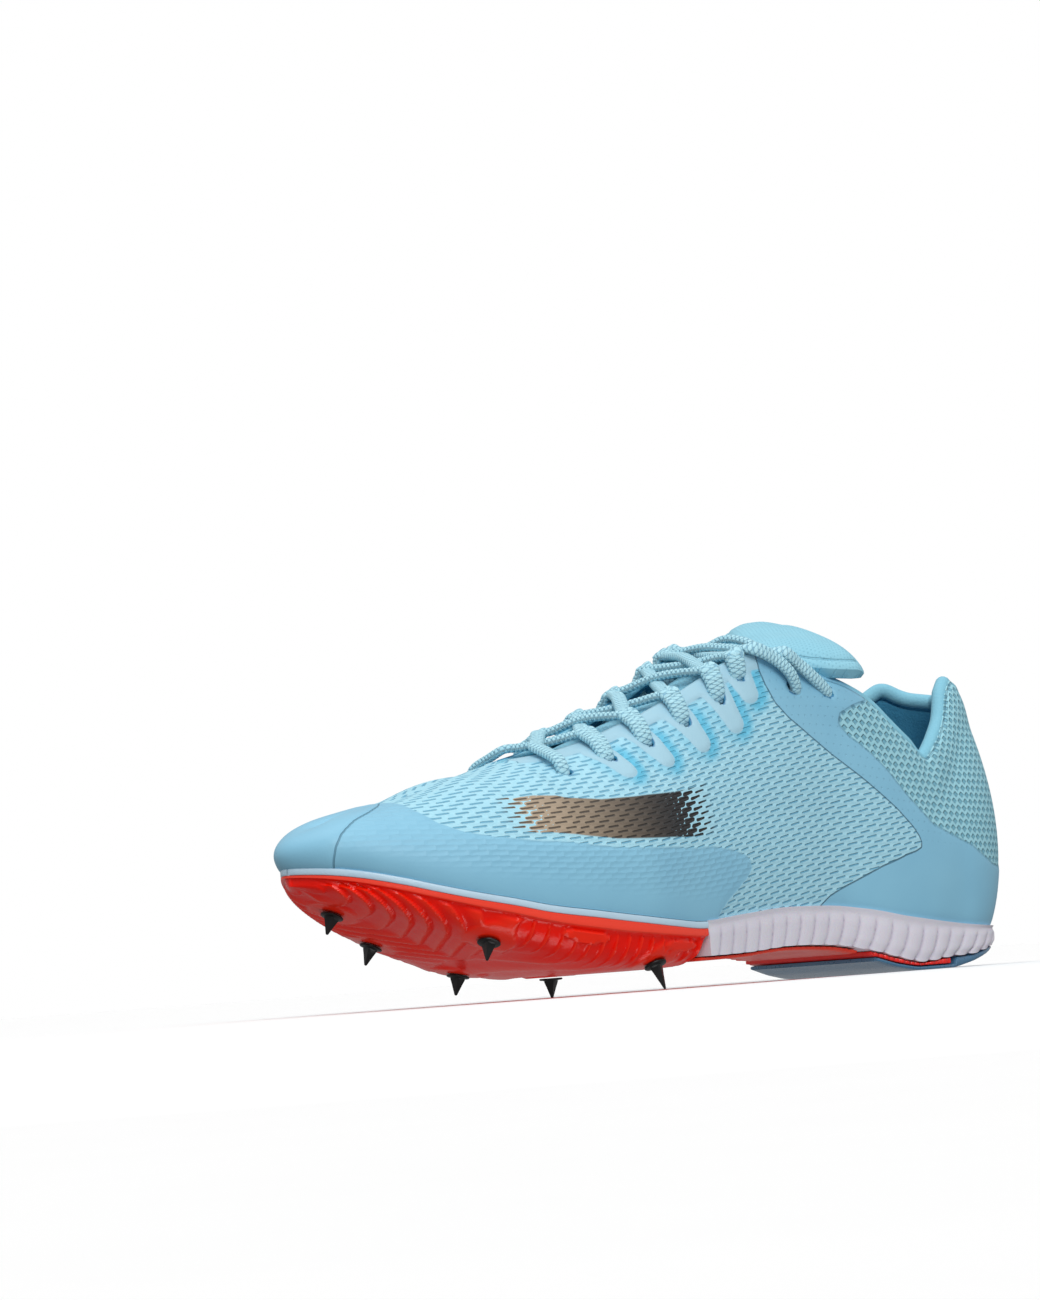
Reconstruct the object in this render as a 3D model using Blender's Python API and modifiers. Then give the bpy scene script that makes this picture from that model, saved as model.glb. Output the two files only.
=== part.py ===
# Track spike shoe, left foot: knitted-film upper on a ribbed heel foam and a studded plate.
# The toe points to -X, the outer side to -Y. The origin is the middle of the flat heel spot.
# Tables hold shares of the named sizes, one row for each section, heel to toe.

import math

import bmesh
import bpy
import numpy as np
from mathutils import Matrix, Vector

# Driving sizes of the last, in metres
LENGTH = 0.285
BALL_WIDTH = 0.089
HEEL_WIDTH = 0.0635
HEEL_ROUND = 0.030
TOE_ROUND = 0.055
TOE_HEIGHT = 0.064
INSTEP_HEIGHT = 0.105
HEEL_HEIGHT = 0.095
HEEL_REST = 0.046

# Sole sizes
SOLE_EDGE = 0.022
TOE_LIFT = 0.025
STRIP_THICK = 0.0027
PLATE_TIP = 0.0025
ARCH_PLATE = 0.002
HEEL_SKIN = 0.0012
RIB_COUNT = 24
RIB_DEPTH = 0.0009
PLATE_RIB_DEPTH = 0.0006
PLATE_LIP = 0.0009
SPIKE_LENGTH = 0.0073
SPIKE_BASE = 0.0036
BOSS_RADIUS = 0.0075
BOSS_HEIGHT = 0.0008

# Upper sizes
WALL = 0.0018
COLLAR_PAD = 0.0045
SOLE_INSET = 0.0012
HEEL_BULGE = 0.0062
MARGIN = 0.008
OVERLAY = 0.0006
SLOT_LENGTH = 0.0075
SLOT_WIDTH = 0.0042

# Inner pieces
INSOLE_THICK = 0.0035
TONGUE_FRONT = 0.0022
TONGUE_TOP = 0.0065
TONGUE_WIDTH = 0.056
LACE_WIDTH = 0.0052
LACE_THICK = 0.0024

CLEAR = 0.0003
CEMENT = 0.00045

OUTLINE = (
    # along, heel half, ball half, shift to the outer side
    ("along", "heel", "ball", "shift"),
    (0.000, 0.96, 0.00, 0.000),
    (0.105, 0.96, 0.00, 0.006),
    (0.175, 1.00, 0.00, 0.014),
    (0.281, 0.93, 0.00, 0.028),
    (0.386, 0.58, 0.26, 0.037),
    (0.491, 0.24, 0.60, 0.031),
    (0.579, 0.00, 0.90, 0.021),
    (0.667, 0.00, 0.995, 0.014),
    (0.719, 0.00, 1.000, 0.006),
    (0.772, 0.00, 0.964, -0.003),
    (0.842, 0.00, 0.856, -0.022),
    (0.905, 0.00, 0.778, -0.048),
    (0.954, 0.00, 0.704, -0.070),
    (0.986, 0.00, 0.600, -0.090),
    (1.000, 0.00, 0.540, -0.112),
)

EDGE = (
    # along, share of the sole edge height, share of the toe lift
    ("along", "stack", "lift"),
    (0.000, 0.54, 0.00),
    (0.080, 0.58, 0.00),
    (0.137, 0.65, 0.00),
    (0.211, 0.78, 0.00),
    (0.270, 0.92, 0.00),
    (0.333, 1.01, 0.00),
    (0.400, 1.03, 0.00),
    (0.484, 0.97, 0.00),
    (0.558, 0.91, 0.00),
    (0.614, 0.91, 0.05),
    (0.667, 0.91, 0.12),
    (0.730, 0.91, 0.22),
    (0.786, 0.91, 0.32),
    (0.828, 0.91, 0.44),
    (0.867, 0.91, 0.55),
    (0.902, 0.91, 0.67),
    (0.930, 0.91, 0.78),
    (0.982, 0.91, 0.96),
    (1.000, 0.91, 1.00),
)

UNDERSIDE = (
    # along, underside of the foam and of the heel skin as shares of the sole edge height
    ("along", "foam", "skin"),
    (0.000, 0.43, 0.330),
    (0.035, 0.37, 0.280),
    (0.067, 0.31, 0.170),
    (0.105, 0.23, 0.050),
    (0.133, 0.17, 0.000),
    (0.190, 0.12, 0.000),
    (0.225, 0.20, 0.060),
    (0.270, 0.34, 0.200),
    (0.333, 0.46, 0.300),
    (0.400, 0.49, 0.330),
    (0.488, 0.44, 0.300),
    (0.554, 0.43, 0.300),
    (1.000, 0.43, 0.300),
)

PLATE_SECTION = (
    # inward from the edge, depth on the outer and on the inner side, first two rows the lip
    ("inward", "outer", "inner"),
    (0.00, 0.00, 0.00),
    (0.00, 0.16, 0.16),
    (0.03, 0.30, 0.28),
    (0.09, 0.62, 0.52),
    (0.22, 0.88, 0.80),
    (0.45, 0.985, 0.96),
    (0.75, 1.00, 1.00),
)

PLATE_KEEL = (
    # along, rise of the plate's keel between its lowest line and the tip
    ("along", "rise"),
    (0.550, 0.000),
    (0.680, 0.000),
    (0.702, 0.020),
    (0.744, 0.080),
    (0.789, 0.205),
    (0.842, 0.385),
    (0.905, 0.610),
    (0.940, 0.745),
    (0.982, 0.930),
    (1.000, 1.000),
)

TOPLINE = (
    # foot and top of the wall along, half gap at the top, height of the top as shares of
    # heel, instep and toe height, extra height of the inner side, turn in degrees, bulge
    ("foot", "along", "gap", "heel", "instep", "toe", "inner", "turn", "bulge"),
    (0.0000, 0.016, 0.000, 0.942, 0.000, 0.000, 0.000, 40, 1.00),
    (0.0140, 0.030, 0.105, 0.962, 0.000, 0.000, 0.000, 40, 1.00),
    (0.0530, 0.055, 0.178, 1.000, 0.000, 0.000, 0.000, 40, 0.90),
    (0.0780, 0.076, 0.215, 0.965, 0.000, 0.000, 0.000, 38, 0.80),
    (0.1050, 0.102, 0.262, 0.850, 0.000, 0.000, 0.000, 36, 0.65),
    (0.1440, 0.144, 0.302, 0.740, 0.000, 0.000, 0.005, 34, 0.50),
    (0.1750, 0.172, 0.300, 0.790, 0.000, 0.000, 0.010, 36, 0.40),
    (0.2110, 0.207, 0.282, 0.885, 0.000, 0.000, 0.015, 40, 0.35),
    (0.2630, 0.259, 0.250, 0.590, 0.360, 0.000, 0.020, 46, 0.35),
    (0.3330, 0.323, 0.216, 0.000, 0.952, 0.000, 0.022, 50, 0.35),
    (0.3900, 0.376, 0.190, 0.000, 0.998, 0.000, 0.024, 54, 0.35),
    (0.4180, 0.403, 0.166, 0.000, 0.985, 0.000, 0.025, 57, 0.35),
    (0.4600, 0.441, 0.143, 0.000, 0.938, 0.000, 0.025, 60, 0.35),
    (0.5260, 0.509, 0.127, 0.000, 0.857, 0.000, 0.018, 64, 0.40),
    (0.6140, 0.593, 0.112, 0.000, 0.778, 0.000, 0.010, 68, 0.45),
    (0.7020, 0.677, 0.082, 0.000, 0.720, 0.000, 0.003, 74, 0.45),
    (0.7300, 0.709, 0.040, 0.000, 0.708, 0.000, 0.000, 80, 0.45),
    (0.7440, 0.721, 0.000, 0.000, 0.702, 0.000, 0.000, 90, 0.45),
    (0.8070, 0.779, 0.000, 0.000, 0.000, 1.100, 0.000, 90, 0.45),
    (0.8770, 0.842, 0.000, 0.000, 0.000, 1.020, 0.000, 90, 0.45),
    (0.9400, 0.895, 0.000, 0.000, 0.000, 0.965, 0.000, 90, 0.50),
    (0.9820, 0.933, 0.000, 0.000, 0.000, 0.925, 0.000, 90, 0.55),
    (1.0000, 0.952, 0.000, 0.000, 0.000, 0.880, 0.000, 90, 0.55),
)

TONGUE = (
    # along, height of the crest, fall to both edges and lean to the outer side as shares
    # of the instep height, fullness of the pad, share of the tongue's full width
    ("along", "crest", "droop", "lean", "pad", "wide"),
    (0.232, 1.066, 0.050, 0.078, 0.30, 0.80),
    (0.250, 1.070, 0.052, 0.086, 0.75, 0.93),
    (0.275, 1.066, 0.052, 0.074, 1.00, 0.92),
    (0.300, 1.054, 0.050, 0.046, 1.00, 0.70),
    (0.323, 1.040, 0.050, 0.024, 1.00, 0.52),
    (0.360, 1.012, 0.055, 0.000, 0.80, 0.46),
    (0.400, 0.980, 0.050, -0.012, 0.60, 0.44),
    (0.450, 0.920, 0.050, -0.012, 0.20, 0.44),
    (0.520, 0.842, 0.060, -0.008, 0.00, 0.46),
    (0.600, 0.768, 0.060, 0.000, 0.00, 0.44),
    (0.680, 0.702, 0.045, 0.000, 0.00, 0.40),
    (0.745, 0.663, 0.030, 0.000, 0.00, 0.30),
)

SPIKES = (
    # along, place across as a share of the ball width, outer side positive
    ("along", "across"),
    (0.938, -0.120),
    (0.850, -0.250),
    (0.744, -0.190),
    (0.656, -0.022),
    (0.832, 0.290),
    (0.625, 0.400),
)

SLOTS = (
    # foot of the wall under the slot, place up the wall, length and width of the hole
    ("foot", "turn", "long", "wide"),
    (0.700, 0.800, 0.60, 0.80),
    (0.644, 0.835, 1.00, 1.00),
    (0.580, 0.850, 1.00, 1.00),
    (0.518, 0.862, 1.00, 1.00),
    (0.462, 0.875, 1.00, 1.00),
    (0.425, 0.915, 0.80, 1.00),
    (0.350, 0.850, 0.62, 1.00),
    (0.298, 0.900, 0.62, 1.00),
)

ARCH_SECTION = (
    # under the arch: share of the half width, share of the arch plate's thickness
    ("across", "down"),
    (1.00, 0.00),
    (1.00, 0.20),
    (1.00, 0.40),
    (0.98, 1.00),
    (0.80, 1.00),
    (0.50, 1.00),
    (0.20, 1.00),
)

SPIKE_PROFILE = (
    # share of the spike's base radius, share of its height above the seat
    ("radius", "height"),
    (1.00, 0.00),
    (1.00, 0.10),
    (0.62, 0.17),
    (0.16, 1.00),
)

# Places and limits, as shares of the length or of the wall's turn
SOLE_ENDS_HEEL = 0.553
ARCH_STARTS = 0.285
ARCH_INSET = 0.0015
HEEL_PAD = (0.045, 0.262)
HEEL_PAD_INSET = 0.0012
HEEL_TAPER = 0.004
FLAT_SPOT = (0.133, 0.190)
INSERT = (0.137, 0.270)
INSOLE_INSET = 0.0058
TONGUE_STEPS = 4
LACE_SIDES = 6
LACE_CLEAR = 0.0016
LACE_ARCH = 0.002
RESTING = (4, 6)
PLATE_RIBS_END = 0.84
TOE_CAP = 0.925
FILM_STARTS = 0.50
FILM_TURN = 0.20
EYESTAY_TURN = 0.70
COLLAR_ENDS = 0.40
THROAT_END = 0.735
STAY_MARGIN = 0.02
PAD_STARTS = 0.72
PAD_RISE = 0.20
PAD_FADE = 0.05
MARGIN_LEAST = 0.35
INSERT_SLOPE = 0.006
OUTLINE_REACH = 0.002
WALL_REACH = 0.004
TURN_REACH = 0.02
SLOT_REACH = 0.03
STEP_SHARE = 0.7
BULGE_POWER = 0.8

# Plate seats, tongue and lace shares
BOSS_TOP = 0.7
BOSS_ROOT = 0.5
BOSS_DEPTH = 3
SEAT_REACH = 0.003
KEEP_APART = 0.001
TAPER_LEAST = 0.5
TONGUE_RIM = 0.35
TONGUE_ROUND = 6
LACE_OVER = 1.6
LACE_PLACES = (0.2, 0.4, 0.6, 0.8)

# How finely each piece is divided
EDGE_SAMPLES = 600
STRIP_COLUMNS = 28
PLATE_COLUMNS = 40
ARCH_COLUMNS = 19
SKIN_COLUMNS = 23
INSERT_COLUMNS = 17
INSOLE_COLUMNS = 30
TONGUE_ROWS = 21
SPIKE_SIDES = 8
SLOT_SIDES = 10
UPPER_COLUMNS = 40
UPPER_TURNS = (0, 0.06, 0.185, 0.215, 0.33, 0.46, 0.58, 0.69, 0.72, 0.86, 1.0)


def column(table, name):
    return np.array([row[table[0].index(name)] for row in table[1:]], float)


def smooth(table, name, at):
    """Monotone cubic through one column of a table, so that no section overshoots its rows."""
    x = column(table, table[0][0])
    y = column(table, name)
    step = np.diff(x)
    rise = np.diff(y) / step
    slope = np.zeros(len(x))
    slope[0] = rise[0]
    slope[-1] = rise[-1]
    for i in range(1, len(x) - 1):
        if rise[i - 1] * rise[i] > 0:
            before = 2 * step[i] + step[i - 1]
            after = step[i] + 2 * step[i - 1]
            slope[i] = (before + after) / (before / rise[i - 1] + after / rise[i])
    at = min(max(at, x[0]), x[-1])
    i = min(int(np.searchsorted(x, at, side="right")) - 1, len(x) - 2)
    t = (at - x[i]) / step[i]
    value = y[i] * (1 + 2 * t) * (1 - t) ** 2 + y[i + 1] * t * t * (3 - 2 * t)
    value += step[i] * (slope[i] * t * (1 - t) ** 2 + slope[i + 1] * t * t * (t - 1))
    return float(value)


def place(along, across, height):
    """Metres from the heel back, to the outer side and above the floor, in the part's frame."""
    return Vector((HEEL_REST - along, -across, height))


def rounding(distance, radius):
    inside = 1 - min(max(distance, 0), radius) / radius
    return math.sqrt(max(0.0, 1 - inside * inside))


def half_width(along):
    share = along / LENGTH
    body = smooth(OUTLINE, "heel", share) * HEEL_WIDTH / 2
    body += smooth(OUTLINE, "ball", share) * BALL_WIDTH / 2
    return body * rounding(along, HEEL_ROUND) * rounding(LENGTH - along, TOE_ROUND)


def centre(along):
    return smooth(OUTLINE, "shift", along / LENGTH) * BALL_WIDTH


def edge_height(along):
    share = along / LENGTH
    return smooth(EDGE, "stack", share) * SOLE_EDGE + smooth(EDGE, "lift", share) * TOE_LIFT


def foam_under(along):
    return smooth(UNDERSIDE, "foam", along / LENGTH) * SOLE_EDGE


def skin_under(along):
    return smooth(UNDERSIDE, "skin", along / LENGTH) * SOLE_EDGE


def strip_under(along):
    return edge_height(along) - STRIP_THICK


def keel_height(along):
    tip = strip_under(LENGTH) - CLEAR - PLATE_TIP
    return SPIKE_LENGTH + smooth(PLATE_KEEL, "rise", along / LENGTH) * (tip - SPIKE_LENGTH)


def outline(along, side, inset=0.0):
    """Point of the sole's outline and its outward direction, in plan."""
    here = np.array((along, centre(along) + side * half_width(along)))
    reach = LENGTH * OUTLINE_REACH
    low = max(along - reach, 0.0)
    high = min(along + reach, LENGTH)
    spread = side * (half_width(high) - half_width(low))
    run = np.array((high - low, centre(high) - centre(low) + spread))
    if along <= 0:
        out = np.array((-1.0, 0.0))
    elif along >= LENGTH:
        out = np.array((1.0, 0.0))
    else:
        out = side * np.array((-run[1], run[0])) / np.linalg.norm(run)
    return here - out * inset, out


def stations(first, last, count):
    """Places along the shoe, evenly spaced along the outline's real edge."""
    grid = first + (last - first) * (1 - np.cos(np.linspace(0, math.pi, EDGE_SAMPLES))) / 2
    edge = np.array([(u, half_width(u)) for u in grid])
    gone = np.concatenate([[0], np.cumsum(np.linalg.norm(np.diff(edge, axis=0), axis=1))])
    return np.interp(np.linspace(0, gone[-1], count), gone, grid)


def material(name, colour, roughness, metallic=0.0):
    made = bpy.data.materials.new(name)
    made.use_nodes = True
    shader = made.node_tree.nodes["Principled BSDF"]
    shader.inputs["Base Color"].default_value = (*colour, 1)
    shader.inputs["Roughness"].default_value = roughness
    shader.inputs["Metallic"].default_value = metallic
    return made


def new_object(name, mesh, collection, finish=None):
    made = bpy.data.objects.new(name, mesh)
    collection.objects.link(made)
    if finish:
        mesh.materials.append(finish)
    return made


def finish_mesh(name, bm):
    bmesh.ops.remove_doubles(bm, verts=bm.verts, dist=1e-6)
    bmesh.ops.recalc_face_normals(bm, faces=bm.faces)
    mesh = bpy.data.meshes.new(name)
    bm.to_mesh(mesh)
    bm.free()
    mesh.shade_smooth()
    mesh.set_sharp_from_angle(angle=math.radians(35))
    return mesh


def ring_loft(name, rings):
    """A closed body through rings of as many points each, with both ends capped."""
    bm = bmesh.new()
    rows = [[bm.verts.new(point) for point in ring] for ring in rings]
    count = len(rows[0])
    for a, b in zip(rows, rows[1:]):
        for j in range(count):
            k = (j + 1) % count
            bm.faces.new((a[j], a[k], b[k], b[j]))
    bm.faces.new(rows[0][::-1])
    bm.faces.new(rows[-1])
    return finish_mesh(name, bm)


def slab(name, places, top, under, inset, steps=4, ribs=None, taper=0.0):
    """A sole layer: at each place a ring across the top and back under it. top and under give
    heights, inset the distance inside the outline, ribs a depth per station, taper how much
    further in the underside starts."""
    rings = []
    for i, along in enumerate(places):
        depth = ribs(i, along) if ribs else 0.0
        outer, _ = outline(along, 1, inset + depth)
        inner, _ = outline(along, -1, inset + depth)
        ring = []
        for k in range(steps + 1):
            t = k / steps
            point = inner + (outer - inner) * t
            ring.append(place(point[0], point[1], top(along)))
        inward = min(taper, half_width(along) * TAPER_LEAST)
        outer, _ = outline(along, 1, inset + depth + inward)
        inner, _ = outline(along, -1, inset + depth + inward)
        for k in range(steps + 1):
            t = 1 - k / steps
            point = inner + (outer - inner) * t
            ring.append(place(point[0], point[1], under(along)))
        rings.append(ring)
    return ring_loft(name, rings)


def wall_point(foot, side, turn):
    """Upper's outer surface: foot along the outline, side, and turn, 0 at the sole and 1 at the top."""
    share = foot / LENGTH
    start, out = outline(foot, side, SOLE_INSET)
    low = edge_height(foot) + CEMENT
    top_along = smooth(TOPLINE, "along", share) * LENGTH
    gap = smooth(TOPLINE, "gap", share) * BALL_WIDTH
    high = smooth(TOPLINE, "heel", share) * HEEL_HEIGHT
    high += smooth(TOPLINE, "instep", share) * INSTEP_HEIGHT
    high += smooth(TOPLINE, "toe", share) * TOE_HEIGHT
    if side < 0:
        high += smooth(TOPLINE, "inner", share) * INSTEP_HEIGHT
    end = np.array((top_along, centre(top_along) + side * gap))
    angle = math.radians(smooth(TOPLINE, "turn", share))
    inward = (1 - math.cos(angle * turn)) / (1 - math.cos(angle))
    upward = math.sin(min(angle * turn, math.pi / 2)) / math.sin(angle)
    bulge = smooth(TOPLINE, "bulge", share) * HEEL_BULGE
    bulge *= math.sin(math.pi * min(turn, 1) ** BULGE_POWER)
    plan = start + (end - start) * inward + out * bulge
    height = low + (high - low) * upward
    return plan, height


def build_wall_grid(bm, feet, turns, lift):
    """Vertices of the upper's outer surface, heel back to toe tip on both sides."""
    grids = {}
    for side in (1, -1):
        grid = []
        for foot in feet:
            line = []
            start, out = outline(foot, side, SOLE_INSET)
            for inward in (MARGIN, MARGIN / 2):
                plan = start - out * inward * margin_share(foot)
                line.append(bm.verts.new(place(plan[0], plan[1], edge_height(foot) + CEMENT)))
            for turn in turns:
                plan, height = wall_point(foot, side, turn)
                proud = lift(foot, turn)
                plan = plan + out * proud * math.cos(turn * math.pi / 2)
                height += proud * math.sin(turn * math.pi / 2)
                line.append(bm.verts.new(place(plan[0], plan[1], height)))
            grid.append(line)
        grids[side] = grid
    return grids


def margin_share(foot):
    """The turned-in margin narrows where the outline is tight."""
    return min(1.0, MARGIN_LEAST + half_width(foot) / (BALL_WIDTH / 2))


def pad_share(foot, turn):
    """How much of the collar's padding the wall holds here, from 0 to 1."""
    share = foot / LENGTH
    fade = min(max((COLLAR_ENDS - share) / PAD_FADE, 0), 1)
    return fade * min(max((turn - PAD_STARTS) / PAD_RISE, 0), 1)


def wall_place(foot, side, turn):
    plan, height = wall_point(foot, side, turn)
    return place(plan[0], plan[1], height)


def wall_normal(foot, side, turn):
    """Outward direction of the upper's surface."""
    reach = LENGTH * WALL_REACH
    low = max(foot - reach, 0.0)
    high = min(foot + reach, LENGTH)
    along = wall_place(high, side, turn) - wall_place(low, side, turn)
    rise = wall_place(foot, side, min(turn + TURN_REACH, 1.0))
    rise -= wall_place(foot, side, turn - TURN_REACH)
    out = along.cross(rise)
    if out.dot(Vector((0, -side, 0.4))) < 0:
        out.negate()
    return out.normalized()


def raised(foot, turn):
    """Overlays stand proud of the knit: toe cap, low film along the forefoot, eyestay."""
    share = foot / LENGTH
    on_toe = share > TOE_CAP
    on_film = turn < FILM_TURN and share > FILM_STARTS
    on_eyestay = turn > EYESTAY_TURN and COLLAR_ENDS - STAY_MARGIN < share < THROAT_END + STAY_MARGIN
    return OVERLAY if on_toe or on_film or on_eyestay else 0.0


def build_upper(collection):
    step = OVERLAY * STEP_SHARE
    feet = list(stations(0, LENGTH, UPPER_COLUMNS))
    feet += [TOE_CAP * LENGTH - step, TOE_CAP * LENGTH + step]
    feet.sort()
    bm = bmesh.new()
    pad = bm.verts.layers.deform.verify()
    grids = build_wall_grid(bm, feet, UPPER_TURNS, raised)
    for grid in grids.values():
        for foot, line in zip(feet, grid):
            for turn, vert in zip(UPPER_TURNS, line[2:]):
                vert[pad][0] = pad_share(foot, turn)
        for a, b in zip(grid, grid[1:]):
            for j in range(len(a) - 1):
                bm.faces.new((a[j], a[j + 1], b[j + 1], b[j]))
    bmesh.ops.remove_doubles(bm, verts=bm.verts, dist=2e-5)
    bmesh.ops.dissolve_degenerate(bm, dist=1e-6, edges=bm.edges)
    bmesh.ops.recalc_face_normals(bm, faces=bm.faces)
    middle = [f for f in bm.faces if f.calc_center_median().z > TOE_HEIGHT / 2]
    if sum(f.normal.z for f in middle) < 0:
        bmesh.ops.reverse_faces(bm, faces=bm.faces)
    mesh = bpy.data.meshes.new("upper")
    bm.to_mesh(mesh)
    bm.free()
    upper = new_object("upper", mesh, collection, material("knit", (0.26, 0.57, 0.73), 0.75))
    upper.vertex_groups.new(name="pad")
    shell = upper.modifiers.new("wall", "SOLIDIFY")
    shell.thickness = COLLAR_PAD
    shell.offset = -1
    shell.vertex_group = "pad"
    shell.thickness_vertex_group = WALL / COLLAR_PAD
    shell.use_even_offset = True
    return upper


def slot_cutter(bm, foot, side, turn, length, width):
    """An oval punch through the eyestay, its length down the wall."""
    at = wall_place(foot, side, turn)
    out = wall_normal(foot, side, turn)
    down = wall_place(foot, side, turn - SLOT_REACH) - at
    down = (down - out * down.dot(out)).normalized()
    across = out.cross(down)
    turned = Matrix((down, across, out)).transposed().to_4x4()
    shape = Matrix.Translation(at) @ turned @ Matrix.Diagonal((length / 2, width / 2, 1, 1))
    bmesh.ops.create_cone(
        bm, cap_ends=True, segments=SLOT_SIDES, radius1=1, radius2=1, depth=COLLAR_PAD * 3, matrix=shape
    )


def cut_slots(upper, cutters):
    bm = bmesh.new()
    for side in (1, -1):
        for share, turn, long, wide in SLOTS[1:]:
            slot_cutter(bm, share * LENGTH, side, turn, SLOT_LENGTH * long, SLOT_WIDTH * wide)
    bmesh.ops.recalc_face_normals(bm, faces=bm.faces)
    mesh = bpy.data.meshes.new("slot_punches")
    bm.to_mesh(mesh)
    bm.free()
    punch = new_object("slot_punches", mesh, cutters)
    hide(punch)
    cut = upper.modifiers.new("slots", "BOOLEAN")
    cut.operation = "DIFFERENCE"
    cut.object = punch


def hide(obj):
    obj.hide_render = True
    obj.display_type = "WIRE"


def build_midsole(collection):
    """Rear foam, ribbed down its side, from the heel to the end of the plate's thick part."""
    count = 2 * RIB_COUNT + 1
    places = stations(0, SOLE_ENDS_HEEL * LENGTH, count)

    def depth(i, along):
        return RIB_DEPTH * (i % 2)

    mesh = slab("midsole", places, edge_height, foam_under, 0.0, ribs=depth)
    new_object("midsole", mesh, collection, material("foam", (0.72, 0.68, 0.76), 0.55))


def build_strip(collection):
    """The pale board that shows as a thin line between upper and plate."""
    places = stations(SOLE_ENDS_HEEL * LENGTH + CLEAR, LENGTH, STRIP_COLUMNS)
    mesh = slab("forefoot_board", places, edge_height, strip_under, 0.0, steps=2)
    new_object("forefoot_board", mesh, collection, material("board", (0.52, 0.69, 0.83), 0.5))


def plate_ring(along, rib):
    """Half sections of the plate from the lip down and under to the keel."""
    top = strip_under(along) - CLEAR
    keel = keel_height(along)
    points = []
    at_tip = half_width(along) < CLEAR
    for side in (1, -1):
        half = []
        for k, (inward, outer, inner) in enumerate(PLATE_SECTION[1:]):
            down = outer if side > 0 or at_tip else inner
            lip = 0.0 if k < 2 else PLATE_LIP
            notch = rib if k in (2, 3) else 0.0
            start, out = outline(along, side, min(lip + notch, half_width(along)))
            plan = start.copy()
            plan[1] = centre(along) + (start[1] - centre(along)) * (1 - inward)
            half.append(place(plan[0], plan[1], top - (top - keel) * down))
        points.append(half)
    return points[0] + points[1][::-1]


def build_plate(collection, cutters):
    """Studded plate: thick under the forefoot, a thin toothed tongue under the arch."""
    rings = []
    arch = np.linspace(ARCH_STARTS * LENGTH, SOLE_ENDS_HEEL * LENGTH + CLEAR, ARCH_COLUMNS)
    for i, along in enumerate(arch):
        tooth = RIB_DEPTH * 2 * (i % 2)
        top = foam_under(along) - CLEAR
        mid = centre(along)
        half = []
        for side in (1, -1):
            start, _ = outline(along, side, ARCH_INSET + tooth)
            line = []
            for across, down in ARCH_SECTION[1:]:
                line.append(place(along, mid + (start[1] - mid) * across, top - ARCH_PLATE * down))
            half.append(line)
        rings.append(half[0] + half[1][::-1])
    thick = stations(SOLE_ENDS_HEEL * LENGTH + 2 * CLEAR, LENGTH, PLATE_COLUMNS)
    for i, along in enumerate(thick):
        share = along / LENGTH
        rib = PLATE_RIB_DEPTH * (i % 2) if share < PLATE_RIBS_END else 0.0
        rings.append(plate_ring(along, rib))
    mesh = ring_loft("spike_plate", rings)
    plate = new_object("spike_plate", mesh, collection, material("plate", (0.86, 0.02, 0.01), 0.25))
    bm = bmesh.new()
    for row in SPIKES[1:]:
        at, out = spike_seat(*row)
        turned = out.to_track_quat("Z", "Y").to_matrix().to_4x4()
        stand = Matrix.Translation(at - out * BOSS_HEIGHT * BOSS_ROOT) @ turned
        bmesh.ops.create_cone(
            bm, cap_ends=True, segments=SPIKE_SIDES, radius1=BOSS_RADIUS, radius2=BOSS_RADIUS * BOSS_TOP,
            depth=BOSS_HEIGHT * BOSS_DEPTH, matrix=stand,
        )
    mesh = bpy.data.meshes.new("stud_seats")
    bm.to_mesh(mesh)
    bm.free()
    seats = new_object("stud_seats", mesh, cutters)
    hide(seats)
    join = plate.modifiers.new("seats", "BOOLEAN")
    join.operation = "UNION"
    join.object = seats


def spike_seat(share, across):
    """Middle of a spike's base on the plate's underside, and the way it points."""
    along = share * LENGTH
    y = across * BALL_WIDTH

    def under(u, v):
        return section_under(u, (v - centre(u)) / (half_width(u) - PLATE_LIP))

    slope_along = (under(along + SEAT_REACH, y) - under(along - SEAT_REACH, y)) / (2 * SEAT_REACH)
    slope_across = (under(along, y + SEAT_REACH) - under(along, y - SEAT_REACH)) / (2 * SEAT_REACH)
    out = Vector((-slope_along, -slope_across, -1.0)).normalized()
    return place(along, y, under(along, y)), out


def section_under(along, across):
    """Height of the plate's underside at a share of its half width."""
    top = strip_under(along) - CLEAR
    keel = keel_height(along)
    inward = 1 - min(abs(across), 1)
    shares = [*column(PLATE_SECTION, "inward")[1:], 1]
    depths = [*column(PLATE_SECTION, "outer" if across > 0 else "inner")[1:], 1]
    down = np.interp(inward, shares, depths)
    return top - (top - keel) * float(down)


def build_heel_pieces(collection):
    """Clear blue skin that touches the floor, and the red insert that shows above its edge."""
    places = stations(HEEL_PAD[0] * LENGTH, HEEL_PAD[1] * LENGTH, SKIN_COLUMNS)
    flat = [FLAT_SPOT[0] * LENGTH, FLAT_SPOT[1] * LENGTH]
    places = sorted([u for u in places if min(abs(u - f) for f in flat) > KEEP_APART] + flat)

    def skin_top(along):
        open_share = insert_share(along)
        full = foam_under(along) - CLEAR
        return full + (min(skin_under(along) + HEEL_SKIN, full) - full) * open_share

    def insert_top(along):
        return foam_under(along) - CLEAR

    def insert_under(along):
        return skin_under(along) + HEEL_SKIN + CLEAR

    mesh = slab("heel_outsole", places, skin_top, skin_under, HEEL_PAD_INSET, steps=2, taper=HEEL_TAPER)
    new_object("heel_outsole", mesh, collection, material("clear_skin", (0.13, 0.33, 0.5), 0.3))
    places = np.linspace(INSERT[0] * LENGTH, INSERT[1] * LENGTH, INSERT_COLUMNS)

    def teeth(i, along):
        return RIB_DEPTH * (i % 2)

    mesh = slab("heel_insert", places, insert_top, insert_under, HEEL_PAD_INSET, steps=2, ribs=teeth)
    new_object("heel_insert", mesh, collection, material("insert", (0.8, 0.01, 0.01), 0.35))


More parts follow.
